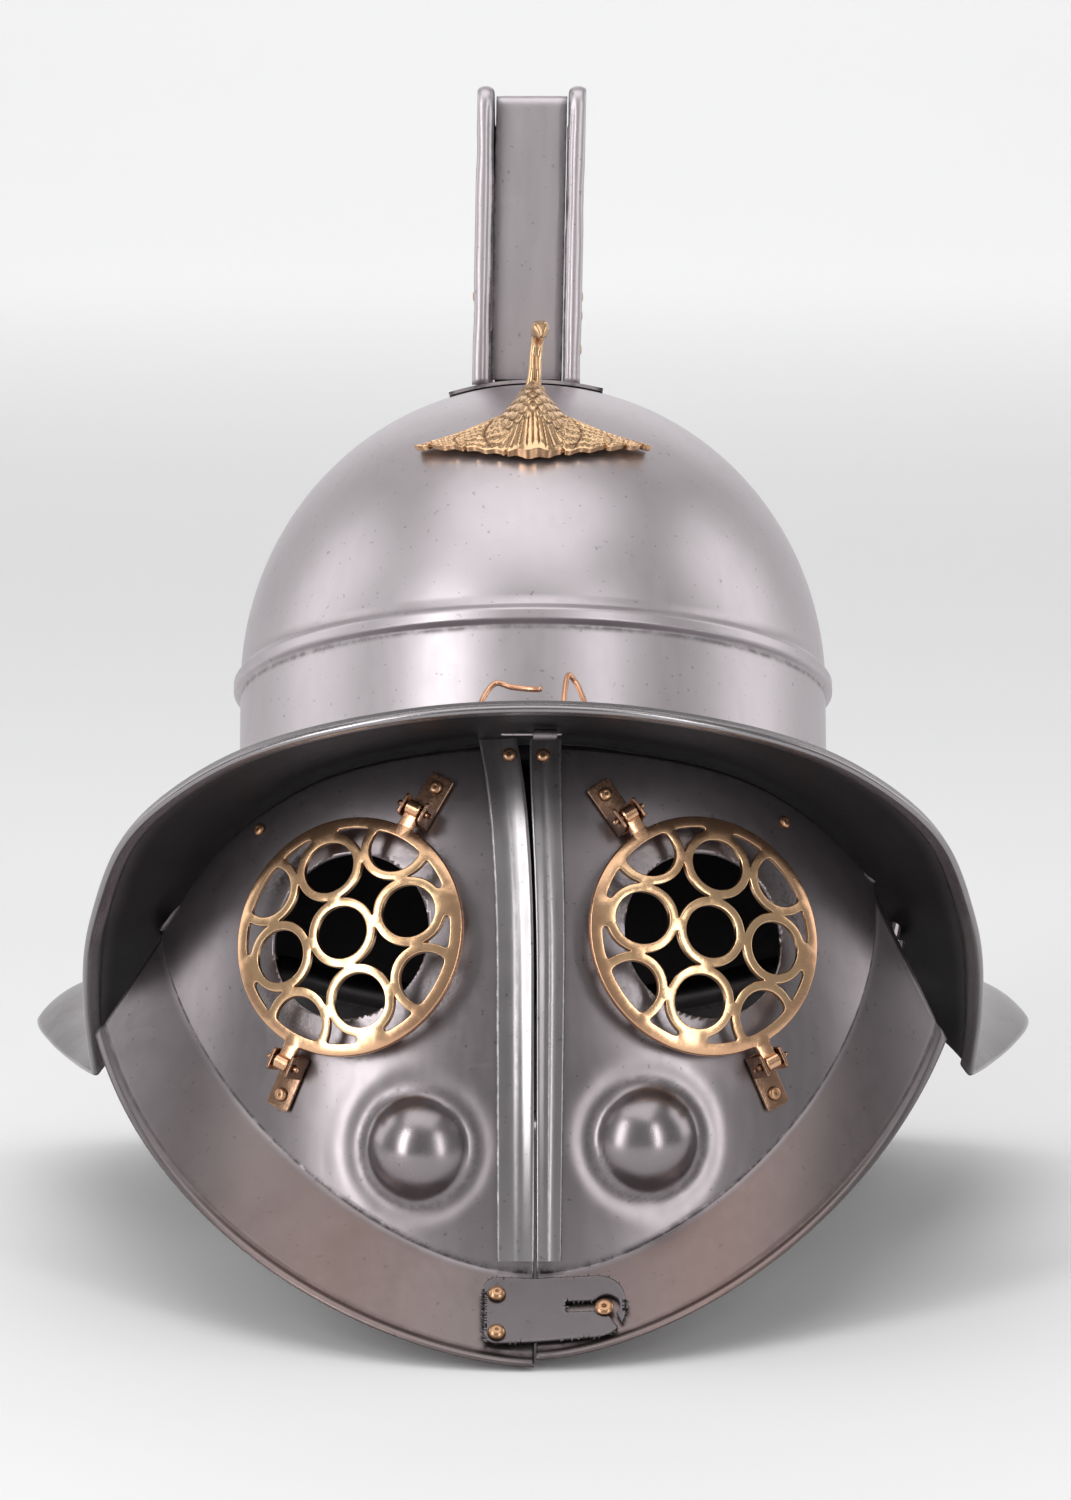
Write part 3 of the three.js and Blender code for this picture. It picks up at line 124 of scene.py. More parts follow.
def shellPiece(name, outer, inner, marks=None, sharp=35):
    # two grids joined round their edges: quads on both, and a strip along the whole edge
    rows, cols = outer.shape[:2]
    count = rows * cols
    front = gridFaces(rows, cols)
    back = front[:, ::-1] + count
    index = np.arange(count).reshape(rows, cols)
    edge = np.concatenate([index[:-1, 0], index[-1, :-1], index[:0:-1, -1], index[0, :0:-1]])
    after = np.roll(edge, -1)
    strip = np.stack([edge, after, after + count, edge + count], -1)[:, ::-1]
    doubled = {key: np.concatenate([np.ravel(v), np.ravel(v)]) for key, v in (marks or {}).items()}
    points = np.concatenate([outer.reshape(-1, 3), inner.reshape(-1, 3)])
    return makePiece(name, points, np.concatenate([front, back, strip]), marks=doubled, sharp=sharp)


def ringsPiece(name, rings, poles, marks=None, sharp=None):
    # rings of points joined in turn, each end closed by a fan to its pole
    rows, cols = rings.shape[:2]
    quads = gridFaces(rows, cols, False, True)
    k = np.arange(cols)
    end = (rows - 1) * cols
    first = np.stack([(k + 1) % cols, k, np.full(cols, rows * cols)], -1)
    last = np.stack([end + k, end + (k + 1) % cols, np.full(cols, rows * cols + 1)], -1)
    points = np.concatenate([rings.reshape(-1, 3), np.array(poles)])
    closed = {key: np.append(np.ravel(v), [v.flat[0], v.flat[-1]]) for key, v in (marks or {}).items()}
    fans = np.concatenate([first, last[:, ::-1]])[:, ::-1]
    return makePiece(name, points, quads, fans, marks=closed, sharp=sharp)


def tubeRings(path, radius, sides, start=None):
    # ring at path point p: p + r (cos a * side + sin a * cross), with side kept square to the path
    along = unit(np.gradient(path, axis=0))
    ref = vec(0, 0, 1) if start is None else start
    side = unit(ref - along * (along @ ref)[:, None])
    cross = np.cross(along, side)
    turn = np.linspace(0, 2 * np.pi, sides, endpoint=False)[None, :, None]
    size = np.broadcast_to(radius, len(path))[:, None, None]
    return path[:, None] + size * (np.cos(turn) * side[:, None] + np.sin(turn) * cross[:, None])


def curveThrough(points, steps):
    # Catmull-Rom spline: 0.5 (2 b + (c - a) t + (2 a - 5 b + 4 c - d) t2 + (3 b - a - 3 c + d) t3)
    p = np.concatenate([[2 * points[0] - points[1]], points, [2 * points[-1] - points[-2]]])
    s = np.linspace(0, len(points) - 1, steps)
    n = np.minimum(s.astype(int), len(points) - 2)
    t = (s - n)[:, None]
    a, b, c, d = p[n], p[n + 1], p[n + 2], p[n + 3]
    return 0.5 * (2 * b + (c - a) * t + (2 * a - 5 * b + 4 * c - d) * t**2 + (3 * b - a - 3 * c + d) * t**3)


def frameOn(point, normal, way):
    # columns: the given way flattened onto the surface, its cross with the normal, the normal, the point
    u = unit(way - normal * (way @ normal))
    return np.stack([u, np.cross(normal, u), normal], -1), point


def spun(radii, heights, turn):
    # a ring of points round the third axis for each radius and height
    rings = [radii[:, None] * np.cos(turn), radii[:, None] * np.sin(turn), heights[:, None] + 0 * turn]
    return np.stack(rings, -1)


def place(frameOf, points):
    axes, origin = frameOf
    return points @ axes.T + origin


def finish(piece, body, material, nodes):
    piece.data.materials.append(material)
    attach(piece, body)
    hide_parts(*nodes)
    return piece


# shader maths: a socket with the usual operators
class Sock:
    def __init__(self, tree, socket):
        self.tree, self.socket = tree, socket

    def node(self, kind, settings=None, **inputs):
        made = self.tree.nodes.new(kind)
        for key, value in (settings or {}).items():
            setattr(made, key, value)
        for key, value in inputs.items():
            slotAt = made.inputs[int(key[1:])] if key[0] == "i" and key[1:].isdigit() else made.inputs[key]
            if isinstance(value, Sock):
                self.tree.links.new(value.socket, slotAt)
            else:
                slotAt.default_value = value
        return made

    def maths(self, operation, *others):
        values = {f"i{k}": v for k, v in enumerate((self,) + others)}
        return Sock(self.tree, self.node("ShaderNodeMath", {"operation": operation}, **values).outputs[0])

    def __add__(self, other):
        return self.maths("ADD", other)

    def __radd__(self, other):
        return self.maths("ADD", other)

    def __sub__(self, other):
        return self.maths("SUBTRACT", other)

    def __rsub__(self, other):
        return (self * -1) + other

    def __mul__(self, other):
        return self.maths("MULTIPLY", other)

    def __rmul__(self, other):
        return self.maths("MULTIPLY", other)


    def clip(self):
        made = self.node("ShaderNodeClamp", None, i0=self)
        return Sock(self.tree, made.outputs[0])

    def over(self, low, high):
        # 0 at low, 1 at high, eased between
        made = self.node("ShaderNodeMapRange", {"interpolation_type": "SMOOTHSTEP"}, i0=self, i1=low, i2=high)
        return Sock(self.tree, made.outputs[0])

    def noise(self, scale, detail=3.0, rough=0.5, stretch=(1, 1, 1), shift=(0, 0, 0)):
        mapped = self.node("ShaderNodeMapping", None, Vector=self, Scale=stretch, Location=shift)
        made = self.node("ShaderNodeTexNoise", None, Vector=Sock(self.tree, mapped.outputs[0]),
                         Scale=scale, Detail=detail, Roughness=rough)
        return Sock(self.tree, made.outputs["Fac"])

    def tint(self, first, second):
        # colour that goes from first at 0 to second at 1
        made = self.node("ShaderNodeMix", {"data_type": "RGBA"})
        self.tree.links.new(self.socket, made.inputs[0])
        for k, colour in ((6, first), (7, second)):
            if isinstance(colour, Sock):
                self.tree.links.new(colour.socket, made.inputs[k])
            else:
                made.inputs[k].default_value = (*colour, 1)
        return Sock(self.tree, made.outputs[2])


def newMaterial(name):
    material = bpy.data.materials.new(name)
    material.use_nodes = True
    tree = material.node_tree
    shader = tree.nodes["Principled BSDF"]
    coords = Sock(tree, tree.nodes.new("ShaderNodeTexCoord").outputs["Object"])
    return material, tree, shader, coords


def markOf(tree, name):
    made = tree.nodes.new("ShaderNodeAttribute")
    made.attribute_name = name
    return Sock(tree, made.outputs["Fac"])


def metalMaterial(name, look, marks=()):
    material, tree, shader, coords = newMaterial(name)
    shader.inputs["Metallic"].default_value = 1.0
    shader.inputs["Anisotropic"].default_value = look.get("aniso", 0.0)
    cloud = coords.noise(look["cloudScale"], 4, 0.6)
    stain = coords.noise(look["stainScale"], 5, 0.65, shift=(0.3, 0.1, 0.7)).over(0.5, 0.72)
    grain = coords.noise(look["grainScale"], 2, 0.5, stretch=look["grainStretch"])
    crosswise = coords.noise(look["grainScale"] * 1.7, 2, 0.4, stretch=look["grainStretch"][::-1])
    scratch = crosswise.over(0.64, 0.72)
    speck = coords.noise(520, 1, 0.5).over(0.71, 0.76)
    colour = cloud.tint(look["light"], look["dark"])
    colour = (stain * look["stain"]).clip().tint(colour, look["stainColour"])
    colour = (speck * look["specks"]).clip().tint(colour, (0.02, 0.018, 0.018))
    rough = (grain - 0.5) * look["grainRough"] + (cloud - 0.5) * look["cloudRough"] + look["rough"]
    rough = rough + stain * look["stain"] * 0.1 + scratch * 0.025
    height = (grain - 0.5) * look["grainDepth"] + cloud * look["dentDepth"] - speck * 0.00002 * look["specks"]
    # darkening towards near black with more roughness: real grime in joints and hollows, and painted shade in
    # the gaps and undersides where the pieces set it
    if "dirt" in marks:
        patch = coords.noise(190, 4, 0.7).over(0.32, 0.62)
        dirt = (markOf(tree, "dirt") * (patch * 0.7 + 0.3) * look.get("dirt", 1.0)).clip()
        colour = dirt.tint(colour, look.get("dirtColour", (0.03, 0.026, 0.024)))
        rough = rough + dirt * 0.3
    if "dust" in marks:
        crust = coords.noise(640, 3, 0.75).over(0.4, 0.62)
        dust = (markOf(tree, "dust") * crust).clip()
        colour = (dust * 0.85).tint(colour, look.get("dustColour", (0.11, 0.095, 0.085)))
        rough = rough + dust * 0.35
        height = height + dust * 0.00008
    if "worn" in marks:
        worn = markOf(tree, "worn").clip()
        colour = (worn * 0.6).tint(colour, look["light"])
        rough = rough - worn * 0.08
    if "shade" in marks:
        shade = markOf(tree, "shade").clip()
        colour = shade.tint(colour, (0.012, 0.01, 0.011))
        rough = rough + shade * 0.15
    if "glow" in marks:
        glow = (markOf(tree, "glow") * (cloud * 0.8 + 0.4)).clip()
        colour = (glow * 0.75).tint(colour, look["glowColour"])
    bump = coords.node("ShaderNodeBump", None, Distance=1.0, Height=height, Strength=look.get("bump", 1.0))
    tree.links.new(colour.socket, shader.inputs["Base Color"])
    tree.links.new(rough.clip().socket, shader.inputs["Roughness"])
    tree.links.new(bump.outputs[0], shader.inputs["Normal"])
    return material


brightLook = {"light": (0.575, 0.53, 0.553), "dark": (0.475, 0.435, 0.455), "rough": 0.42, "cloudScale": 8,
              "cloudRough": 0.07, "stainScale": 14, "stain": 0.16, "stainColour": (0.3, 0.27, 0.28),
              "specks": 0.3,
              "grainScale": 300, "grainStretch": (1, 1, 0.12), "grainRough": 0.1, "grainDepth": 0.000014,
              "dentDepth": 0.001}
# the steel of the visor, the latch, the brim, the hinges and the lug is the bright steel with a darker
# colour: painted shade for the shade and dark reflections round the brim
shadedSteelLook = dict(brightLook, light=(0.345, 0.312, 0.325), dark=(0.235, 0.21, 0.22), rough=0.32, stain=0.3,
                stainColour=(0.14, 0.12, 0.12), glowColour=(0.3, 0.17, 0.12))
shadedBrimLook = dict(shadedSteelLook, light=(0.34, 0.32, 0.33), dark=(0.26, 0.24, 0.25), rough=0.32)
brassLook = {"light": (0.86, 0.6, 0.35), "dark": (0.7, 0.42, 0.24), "rough": 0.23, "cloudScale": 34,
             "cloudRough": 0.08, "stainScale": 45, "stain": 0.35, "stainColour": (0.5, 0.25, 0.15),
             "specks": 0.2,
             "grainScale": 420, "grainStretch": (1, 0.3, 1), "grainRough": 0.1, "grainDepth": 0.00002,
             "dentDepth": 0.0004, "dirtColour": (0.09, 0.04, 0.02), "glowColour": (0.62, 0.31, 0.2)}
rivetLook = dict(brassLook, light=(0.7, 0.43, 0.25), dark=(0.42, 0.23, 0.13), rough=0.3, stain=0.5)
bronzeLook = dict(brassLook, light=(0.52, 0.32, 0.215), dark=(0.2, 0.115, 0.075), rough=0.27, cloudScale=90)
copperLook = dict(brassLook, light=(0.8, 0.46, 0.29), dark=(0.6, 0.31, 0.19), rough=0.27)

brightSteel = metalMaterial("bright steel", brightLook, ("dirt", "shade"))
shadedSteel = metalMaterial("dark steel", shadedSteelLook, ("dirt", "dust", "worn", "glow", "shade"))
shadedBrimSteel = metalMaterial("brim steel", shadedBrimLook, ("dirt", "worn", "glow", "shade"))
plainShadedSteel = metalMaterial("plain dark steel", shadedSteelLook)
brass = metalMaterial("brass", brassLook, ("dirt", "glow"))
castBrass = metalMaterial("cast brass", brassLook, ("dirt",))
rivetBrass = metalMaterial("rivet brass", rivetLook, ("dirt",))
bronze = metalMaterial("bronze", bronzeLook)
copper = metalMaterial("copper", copperLook)
print("materials in")

# bowl and brim
sheet = 1.2
bowl = {"halfWidth": 104.5, "halfLength": 120, "band": 34, "dome": 108, "ridgeProud": 2.4}
brim = {"reach": 185, "drop": 107.5, "hemWidth": 6.5, "hemThickness": 2.8, "collar": 10, "seat": 0.3}
# angle, foot, reach, drop, leave, arrive
stations = np.array([
    [0, 0.093, 1, 0.113, 2, 2], [13.5, 0.102, 0.998, 0.13, 3, 3], [30.5, 0.15, 0.99, 0.195, 5, 4],
    [41.7, 0.235, 0.988, 0.295, 8, 5], [51, 0.335, 0.974, 0.415, 12, 8], [59.6, 0.45, 0.944, 0.6, 20, 14],
    [70.5, 0.56, 0.892, 0.775, 26, 28], [77.4, 0.61, 0.864, 0.885, 26, 46], [82.6, 0.65, 0.843, 1, 24, 58],
    [93.5, 0.67, 0.893, 0.91, 18, 54], [102.9, 0.65, 0.969, 0.807, 6, 52],
    [113.6, 0.61, 1.078, 0.672, -8, 52],
    [121, 0.585, 1.12, 0.6, -6, 40], [130, 0.577, 1.11, 0.64, 2, 24], [141, 0.585, 1.07, 0.78, 14, 18],
    [152, 0.595, 1.025, 0.905, 26, 20], [165, 0.605, 0.972, 0.9, 32, 22], [180, 0.605, 0.951, 0.878, 35, 22]])
columnOf = {"foot": 1, "reach": 2, "drop": 3, "leave": 4, "arrive": 5}
templeAngle = 82.6


def atStation(key, angle):
    # cubic through the rows: slopes from the rows on both sides, one-sided at the temple, flat at the ends
    a, v = stations[:, 0], stations[:, columnOf[key]]
    fold = np.abs((np.asarray(angle, float) + 180) % 360 - 180)
    n = np.clip(np.searchsorted(a, fold, "right") - 1, 0, len(a) - 2)
    step = (v[1:] - v[:-1]) / (a[1:] - a[:-1])
    wide = np.concatenate([[0], (v[2:] - v[:-2]) / (a[2:] - a[:-2]), [0]])
    sharp = np.isclose(a, templeAngle)
    start = np.where(sharp[n], step[n], wide[n])
    end = np.where(sharp[n + 1], step[n], wide[n + 1])
    w = a[n + 1] - a[n]
    t = (fold - a[n]) / w
    return (v[n] * (1 + 2 * t) * (1 - t) ** 2 + v[n + 1] * t * t * (3 - 2 * t)
            + w * (start * t * (1 - t) ** 2 - end * t * t * (1 - t)))


def planWay(angle):
    # unit vector in plan, 0 to the front and positive to the right
    a = np.radians(angle)
    return np.stack([np.sin(a), -np.cos(a), np.zeros_like(a)], -1)


def bowlPlan(angle, out=0.0):
    # radius of the ellipse grown by out: 1 / hypot(x / a, y / b)
    way = planWay(angle)
    return 1 / np.hypot(way[..., 0] / (bowl["halfWidth"] + out), way[..., 1] / (bowl["halfLength"] + out))


def brimTop(angle, share):
    # Hermite curve in each upright section, from the bowl's foot to the rim
    angle, t = np.broadcast_arrays(np.asarray(angle, float), np.asarray(share, float))
    foot, rim = bowlPlan(angle), atStation("reach", angle) * brim["reach"]
    low = atStation("foot", angle) * brim["drop"]
    drop = atStation("drop", angle) * brim["drop"] - low
    chord = np.hypot(rim - foot, drop)
    leave, arrive = np.radians(atStation("leave", angle)), np.radians(atStation("arrive", angle))
    h0, h1 = (1 + 2 * t) * (1 - t) ** 2, t * t * (3 - 2 * t)
    h2, h3 = t * (1 - t) ** 2 * chord, -t * t * (1 - t) * chord
    out = h0 * foot + h1 * rim + h2 * np.cos(leave) + h3 * np.cos(arrive)
    down = h1 * drop + h2 * np.sin(leave) + h3 * np.sin(arrive)
    points = planWay(angle) * out[..., None]
    points[..., 2] = -brim["seat"] - low - down
    return points


def brimShare(x, y):
    # share of the way to the rim over a plan point, by halving
    angle = np.degrees(np.arctan2(x, -y))
    low, high = np.zeros_like(angle), np.ones_like(angle)
    for _ in range(26):
        middle = (low + high) / 2
        p = brimTop(angle, middle)
        inside = np.hypot(p[..., 0], p[..., 1]) < np.hypot(x, y)
        low, high = np.where(inside, middle, low), np.where(inside, high, middle)
    return angle, low


def brimZ(x, y, above):
    # height of a face parallel to the brim's top
    x, y = np.broadcast_arrays(np.asarray(x, float), np.asarray(y, float))
    angle, share = brimShare(x, y)
    p, q = brimTop(angle, share), brimTop(angle, share + 0.02)
    run = np.hypot(q[..., 0] - p[..., 0], q[..., 1] - p[..., 1])
    return p[..., 2] + above * np.hypot(run, q[..., 2] - p[..., 2]) / run


def roundAngles(count):
    # angles round the helmet, with both temple points among them
    half = np.concatenate([np.linspace(0, templeAngle, count, endpoint=False),
                           np.linspace(templeAngle, 180, count, endpoint=False)])
    return np.concatenate([half, [180], 360 - half[:0:-1]])


def buildBowl():
    # dome ellipsoid, a bead whose upper side is soft and lower side crisp, then an upright wall to the brim
    angles = roundAngles(70)
    turn = np.radians(np.linspace(1.5, 88.2, 58))
    domeRows = np.stack([np.sin(turn), bowl["band"] + bowl["dome"] * np.cos(turn), np.zeros_like(turn)], -1)
    z = np.linspace(bowl["band"] + 3.3, bowl["band"] - 7, 30)
    over = z - bowl["band"]
    lift = (1 - smooth(0.2, 3.4, over)) * smooth(-4.6, -2.6, over)
    beadRows = np.stack([np.ones_like(z), z, lift * bowl["ridgeProud"]], -1)
    rings = []
    for rows in (domeRows, beadRows):
        ring = planWay(angles)[None] * (bowlPlan(angles[None], rows[:, 2:3]) * rows[:, :1])[..., None]
        ring[..., 2] = rows[:, 1:2]
        rings.append(ring)
    foot = -atStation("foot", angles) * brim["drop"]
    share = np.linspace(0, 1, 26)[1:, None]
    wall = np.repeat((planWay(angles) * bowlPlan(angles)[:, None])[None], 25, 0)
    wall[..., 2] = mix(z[-1], foot[None], share)
    outer = np.concatenate(rings + [wall])
    inner = outer[::-1][::3].copy()
    shrink = 1 - sheet / np.hypot(inner[..., 0], inner[..., 1]).clip(30)
    inner[..., :2] *= shrink[..., None]
    inner[..., 2] -= np.where(inner[..., 2] > bowl["band"], sheet * 0.95, 0)
    zs = outer[..., 2]
    dirt = 0.55 * bell(zs, bowl["band"] - 5.2, 0.9) + 0.35 * bell(zs, bowl["band"] + 4.3, 0.8)
    dirt += 0.8 * np.exp(-np.abs(zs - foot[None]) / 1.6)
    rings = np.concatenate([outer, inner])
    marks = {"dirt": np.concatenate([dirt, np.zeros(inner.shape[:2])]),
             "shade": np.concatenate([0 * dirt, np.full(inner.shape[:2], 0.93)])}
    poles = [vec(0, 0, bowl["band"] + bowl["dome"]), inner[-1].mean(0) + vec(0, 0, 0.3)]
    piece = ringsPiece("bowl_sheet", rings, poles, marks)
    return finish(piece, "helmet", brightSteel, ["bowl"])


def buildBrim():
    # closed section carried round: top face, round rim, hem folded back under it, then the under face
    angles = roundAngles(110)
    share = np.linspace(0, 1, 64)
    top = brimTop(angles[:, None], share[None])
    normal = -normalsOf(top, True)
    width = np.linalg.norm(np.diff(top, axis=1), axis=2)
    toRim = np.cumsum(width[:, ::-1], 1)[:, ::-1]
    toRim = np.concatenate([toRim, np.zeros((len(angles), 1))], 1)
    hem = brim["hemThickness"]
    fold = 1 - smooth(brim["hemWidth"] - 0.3, brim["hemWidth"] + 0.5, toRim)
    pinch = 0.45 * bell(toRim, brim["hemWidth"] - 0.1, 0.5)
    aside = np.abs((angles + 180) % 360 - 180)[:, None]
    under = top - normal * (mix(sheet, hem, fold) - pinch)[..., None]
    outward = unit(top[:, -1] - top[:, -2])
    turn = np.linspace(0, np.pi, 9)[1:-1]
    middle = top[:, -1] - normal[:, -1] * hem / 2 - outward * 1.66
    forward = smooth(80, 40, aside)
    top = top + normal * (forward * 1.5 * bell(toRim, 1.9, 1.5))[..., None]
    cap = middle[:, None] + hem / 2 * (np.cos(turn)[None, :, None] * normal[:, -1][:, None]
                                       + 1.1 * np.sin(turn)[None, :, None] * outward[:, None])
    collar = planWay(angles) * bowlPlan(angles, -sheet - 0.3)[:, None]
    foot = top[:, 0, 2]
    up = np.stack([collar, collar - planWay(angles) * sheet], 1)
    up[..., 2] = foot[:, None] + brim["collar"]
    edge = np.stack([collar, collar - planWay(angles) * sheet * 0.8], 1)
    edge[:, 0, 2] = foot
    edge[:, 1, 2] = foot - sheet
    section = np.concatenate([up[:, :1], edge[:, :1], top[:, :-2], cap, under[:, -3::-1], edge[:, 1:],
                              up[:, 1:]], 1)
    quads = gridFaces(*section.shape[:2], True, True)
    quiet = np.zeros((len(angles), 1))

    def carried(above, onCap, below, inCollar=0):
        # values on the top face, the rim's cap, the under face and inside the collar, in the section's order
        return np.concatenate([quiet, quiet, above[:, :-2], np.repeat(quiet + onCap, 7, 1), below[:, -3::-1],
                               quiet + inCollar, quiet + inCollar], 1)

    # under face: darker along the hem's fold, and painted shade next to the bowl
    dirtUnder = 0.95 * bell(toRim, brim["hemWidth"] + 0.35, 0.45) + 0.5 * np.exp(-share * 14)[None]
    dirtTop = 0.6 * np.exp(-share * 30)[None] + 0 * toRim
    front = smooth(118, 84, aside)
    dark = mix(0.35, 0.74, front) * smooth(1.0, 0.8, share)[None] + 0.1 * front
    marks = {"dirt": carried(dirtTop, 0, dirtUnder),
             "worn": carried(bell(toRim, 0, 1.4), 1, bell(toRim, 1.5, 2)),
             "glow": carried(0 * toRim, 0, 0.3 * bell(toRim, 3.2, 2)),
             "shade": carried(0 * toRim, 0, dark * smooth(4.5, 8, toRim), 0.7)}
    piece = makePiece("brim_sheet", section, quads, marks=marks)
    return finish(piece, "helmet", shadedBrimSteel, ["brim"])


buildBowl()
buildBrim()
print("bowl and brim in")

# face guard
face = {"halfWidth": 140, "depth": 113, "forward": 25, "clear": 3, "mid": 95, "bulge": 0.105,
        "bulgeReach": 98, "chinCrease": 190.5, "creaseStart": 4, "chinEdge": 223, "flangeHalfWidth": 157,
        "flangeDepth": 120, "lip": 0.9, "seamGap": 0.7, "seamGapTop": 3, "seamDrift": 3.75, "seamReach": 80}
eye = {"down": 78, "hole": 28}
boss = {"radius": 16.5, "height": 7, "groove": 2.6, "swellRadius": 34, "swellHeight": 3.2}
halves = [
    {"name": "left", "side": -1, "creaseAngle": 66, "power": 1.85, "round": 0, "edgeAngle": 71.8,
     "edgeEnd": 101.2, "edgePower": 1.68, "chinLift": 0, "rivetIn": 3.6, "rivetLift": 1.0, "eyeSide": 61.4,
     "boss": (-38, -149.6), "strapFrom": (92, 41),
     "ears": (61, 240), "gridTurn": 14},
    {"name": "right", "side": 1, "creaseAngle": 57.5, "power": 1.8, "round": 0.5, "edgeAngle": 62.8,
     "edgeEnd": 105.7, "edgePower": 1.66, "chinLift": 2.4, "rivetIn": 4.5, "rivetLift": 0.35, "eyeSide": 57.4,
     "boss": (37.7, -146.9), "strapFrom": (84.5, 39.5),
     "ears": (124, 300), "gridTurn": -8},
]


def swell(z):
    # 1 - bulge ((z + mid) / reach)^2
    return 1 - face["bulge"] * ((z + face["mid"]) / face["bulgeReach"]) ** 2


def facePoint(angle, z):
    # ellipse in plan, scaled by the swell at its height
    size, a = swell(z), np.radians(angle)
    return np.stack(np.broadcast_arrays(face["halfWidth"] * size * np.sin(a),
                                        -face["forward"] - face["depth"] * size * np.cos(a), z), -1)


def faceAt(x, z):
    x, z = np.asarray(x, float), np.asarray(z, float)
    return facePoint(np.degrees(np.arcsin(x / (face["halfWidth"] * swell(z)))), z)


def faceNormal(x, z):
    x, z = np.asarray(x, float), np.asarray(z, float)
    p = faceAt(x, z)
    return unit(np.cross(faceAt(x + 0.5, z) - p, faceAt(x, z + 0.5) - p))


def seamEdge(side, z):
    # middle of the gap plus half its width, both growing towards the top
    t = np.maximum(0, (z + face["mid"]) / face["seamReach"])
    gap = face["seamGap"] + face["seamGapTop"] * t**5
    return face["seamGap"] - face["seamDrift"] * t**2 + side * gap / 2


def topEdge(angle):
    # height of the plates' upper edge, a little below the brim's under face
    z = np.full(np.shape(angle), -face["mid"] / 2)
    for _ in range(5):
        p = facePoint(angle, z)
        z = brimZ(p[..., 0], p[..., 1], -sheet - face["clear"])
    return z


def halfPoint(half, across, down):
    # down 0 to 1: from the top edge to the crease on the face; 1 to 2: straight out across the flange
    across, down = np.broadcast_arrays(np.asarray(across, float), np.asarray(down, float))
    share = mix(across, np.sin(across * np.pi / 2), half["round"])
    angle = share * half["creaseAngle"]
    table = np.linspace(0, 1, 121)
    top = np.interp(share, table, topEdge(half["side"] * table * half["creaseAngle"]))
    end = topEdge(np.array([half["side"] * half["creaseAngle"]]))[0] - face["creaseStart"]
    circle = 1 - np.sqrt(np.maximum(0, 1 - share**2))
    rise = (1 - half["round"]) * share ** half["power"] + half["round"] * circle
    crease = mix(-face["chinCrease"], end, rise)
    z = mix(top, crease, np.minimum(down, 1))
    onFace = facePoint(half["side"] * angle, z)
    near = (1 - across) ** 3
    inside = faceAt(onFace[..., 0] + near * seamEdge(half["side"], z), z)
    turn = np.radians(across * half["edgeAngle"])
    height = mix(-(face["chinEdge"] - half["chinLift"]), -half["edgeEnd"], across ** half["edgePower"])
    edge = np.stack([half["side"] * face["flangeHalfWidth"] * np.sin(turn),
                     -face["forward"] - face["flangeDepth"] * np.cos(turn), height], -1)
    out = mix(onFace, edge, np.clip(down - 1, 0, 1)[..., None])
    out[..., 0] += near * seamEdge(half["side"], out[..., 2])
    return np.where((down <= 1)[..., None], inside, out)


def bossLift(d):
    # cosine swelling, a round dome on it and a ring groove outside the dome
    s, r = boss["swellRadius"], boss["radius"]
    lift = boss["swellHeight"] * (1 + np.cos(np.pi * np.minimum(1, d / s))) / 2
    dome = boss["height"] * np.maximum(0, 1 - (d / r) ** 2) ** 0.82
    return lift + dome - boss["groove"] * 0.66 * bell(d, 1.22 * r, 0.3 * r)


def eyeFrame(half):
    at = faceAt(half["side"] * half["eyeSide"], -eye["down"])
    return frameOn(at, faceNormal(at[0], at[2]), vec(1, 0, 0))


def trimmed(grid, field, marks):
    # keeps field > 0: nearby points slide to field = 0 along its slope, and cut quads become triangles
    gi, gj = np.gradient(field)
    size = np.maximum(gi**2 + gj**2, 1e-9)
    di, dj = -field * gi / size, -field * gj / size
    near = (np.hypot(di, dj) < 0.62)[..., None]
    slide = np.gradient(grid, axis=0) * di[..., None] + np.gradient(grid, axis=1) * dj[..., None]
    moved = np.where(near, grid + slide, grid)
    keep = ((field > 0) | near[..., 0]).ravel()
    quads = gridFaces(*field.shape)
    held = keep[quads]
    whole = quads[held.all(1)]
    three = held.sum(1) == 3
    tris = quads[three][held[three]].reshape(-1, 3)
    used = np.unique(np.concatenate([whole.ravel(), tris.ravel()]))
    renumber = np.zeros(field.size, int)
    renumber[used] = np.arange(len(used))
    return (moved.reshape(-1, 3)[used], renumber[whole], renumber[tris],
            {key: np.ravel(v)[used] for key, v in marks.items()})


def thicken(piece, thickness):
    wall = piece.modifiers.new("wall", "SOLIDIFY")
    wall.thickness, wall.offset, wall.use_rim = thickness / 1000, -1, True


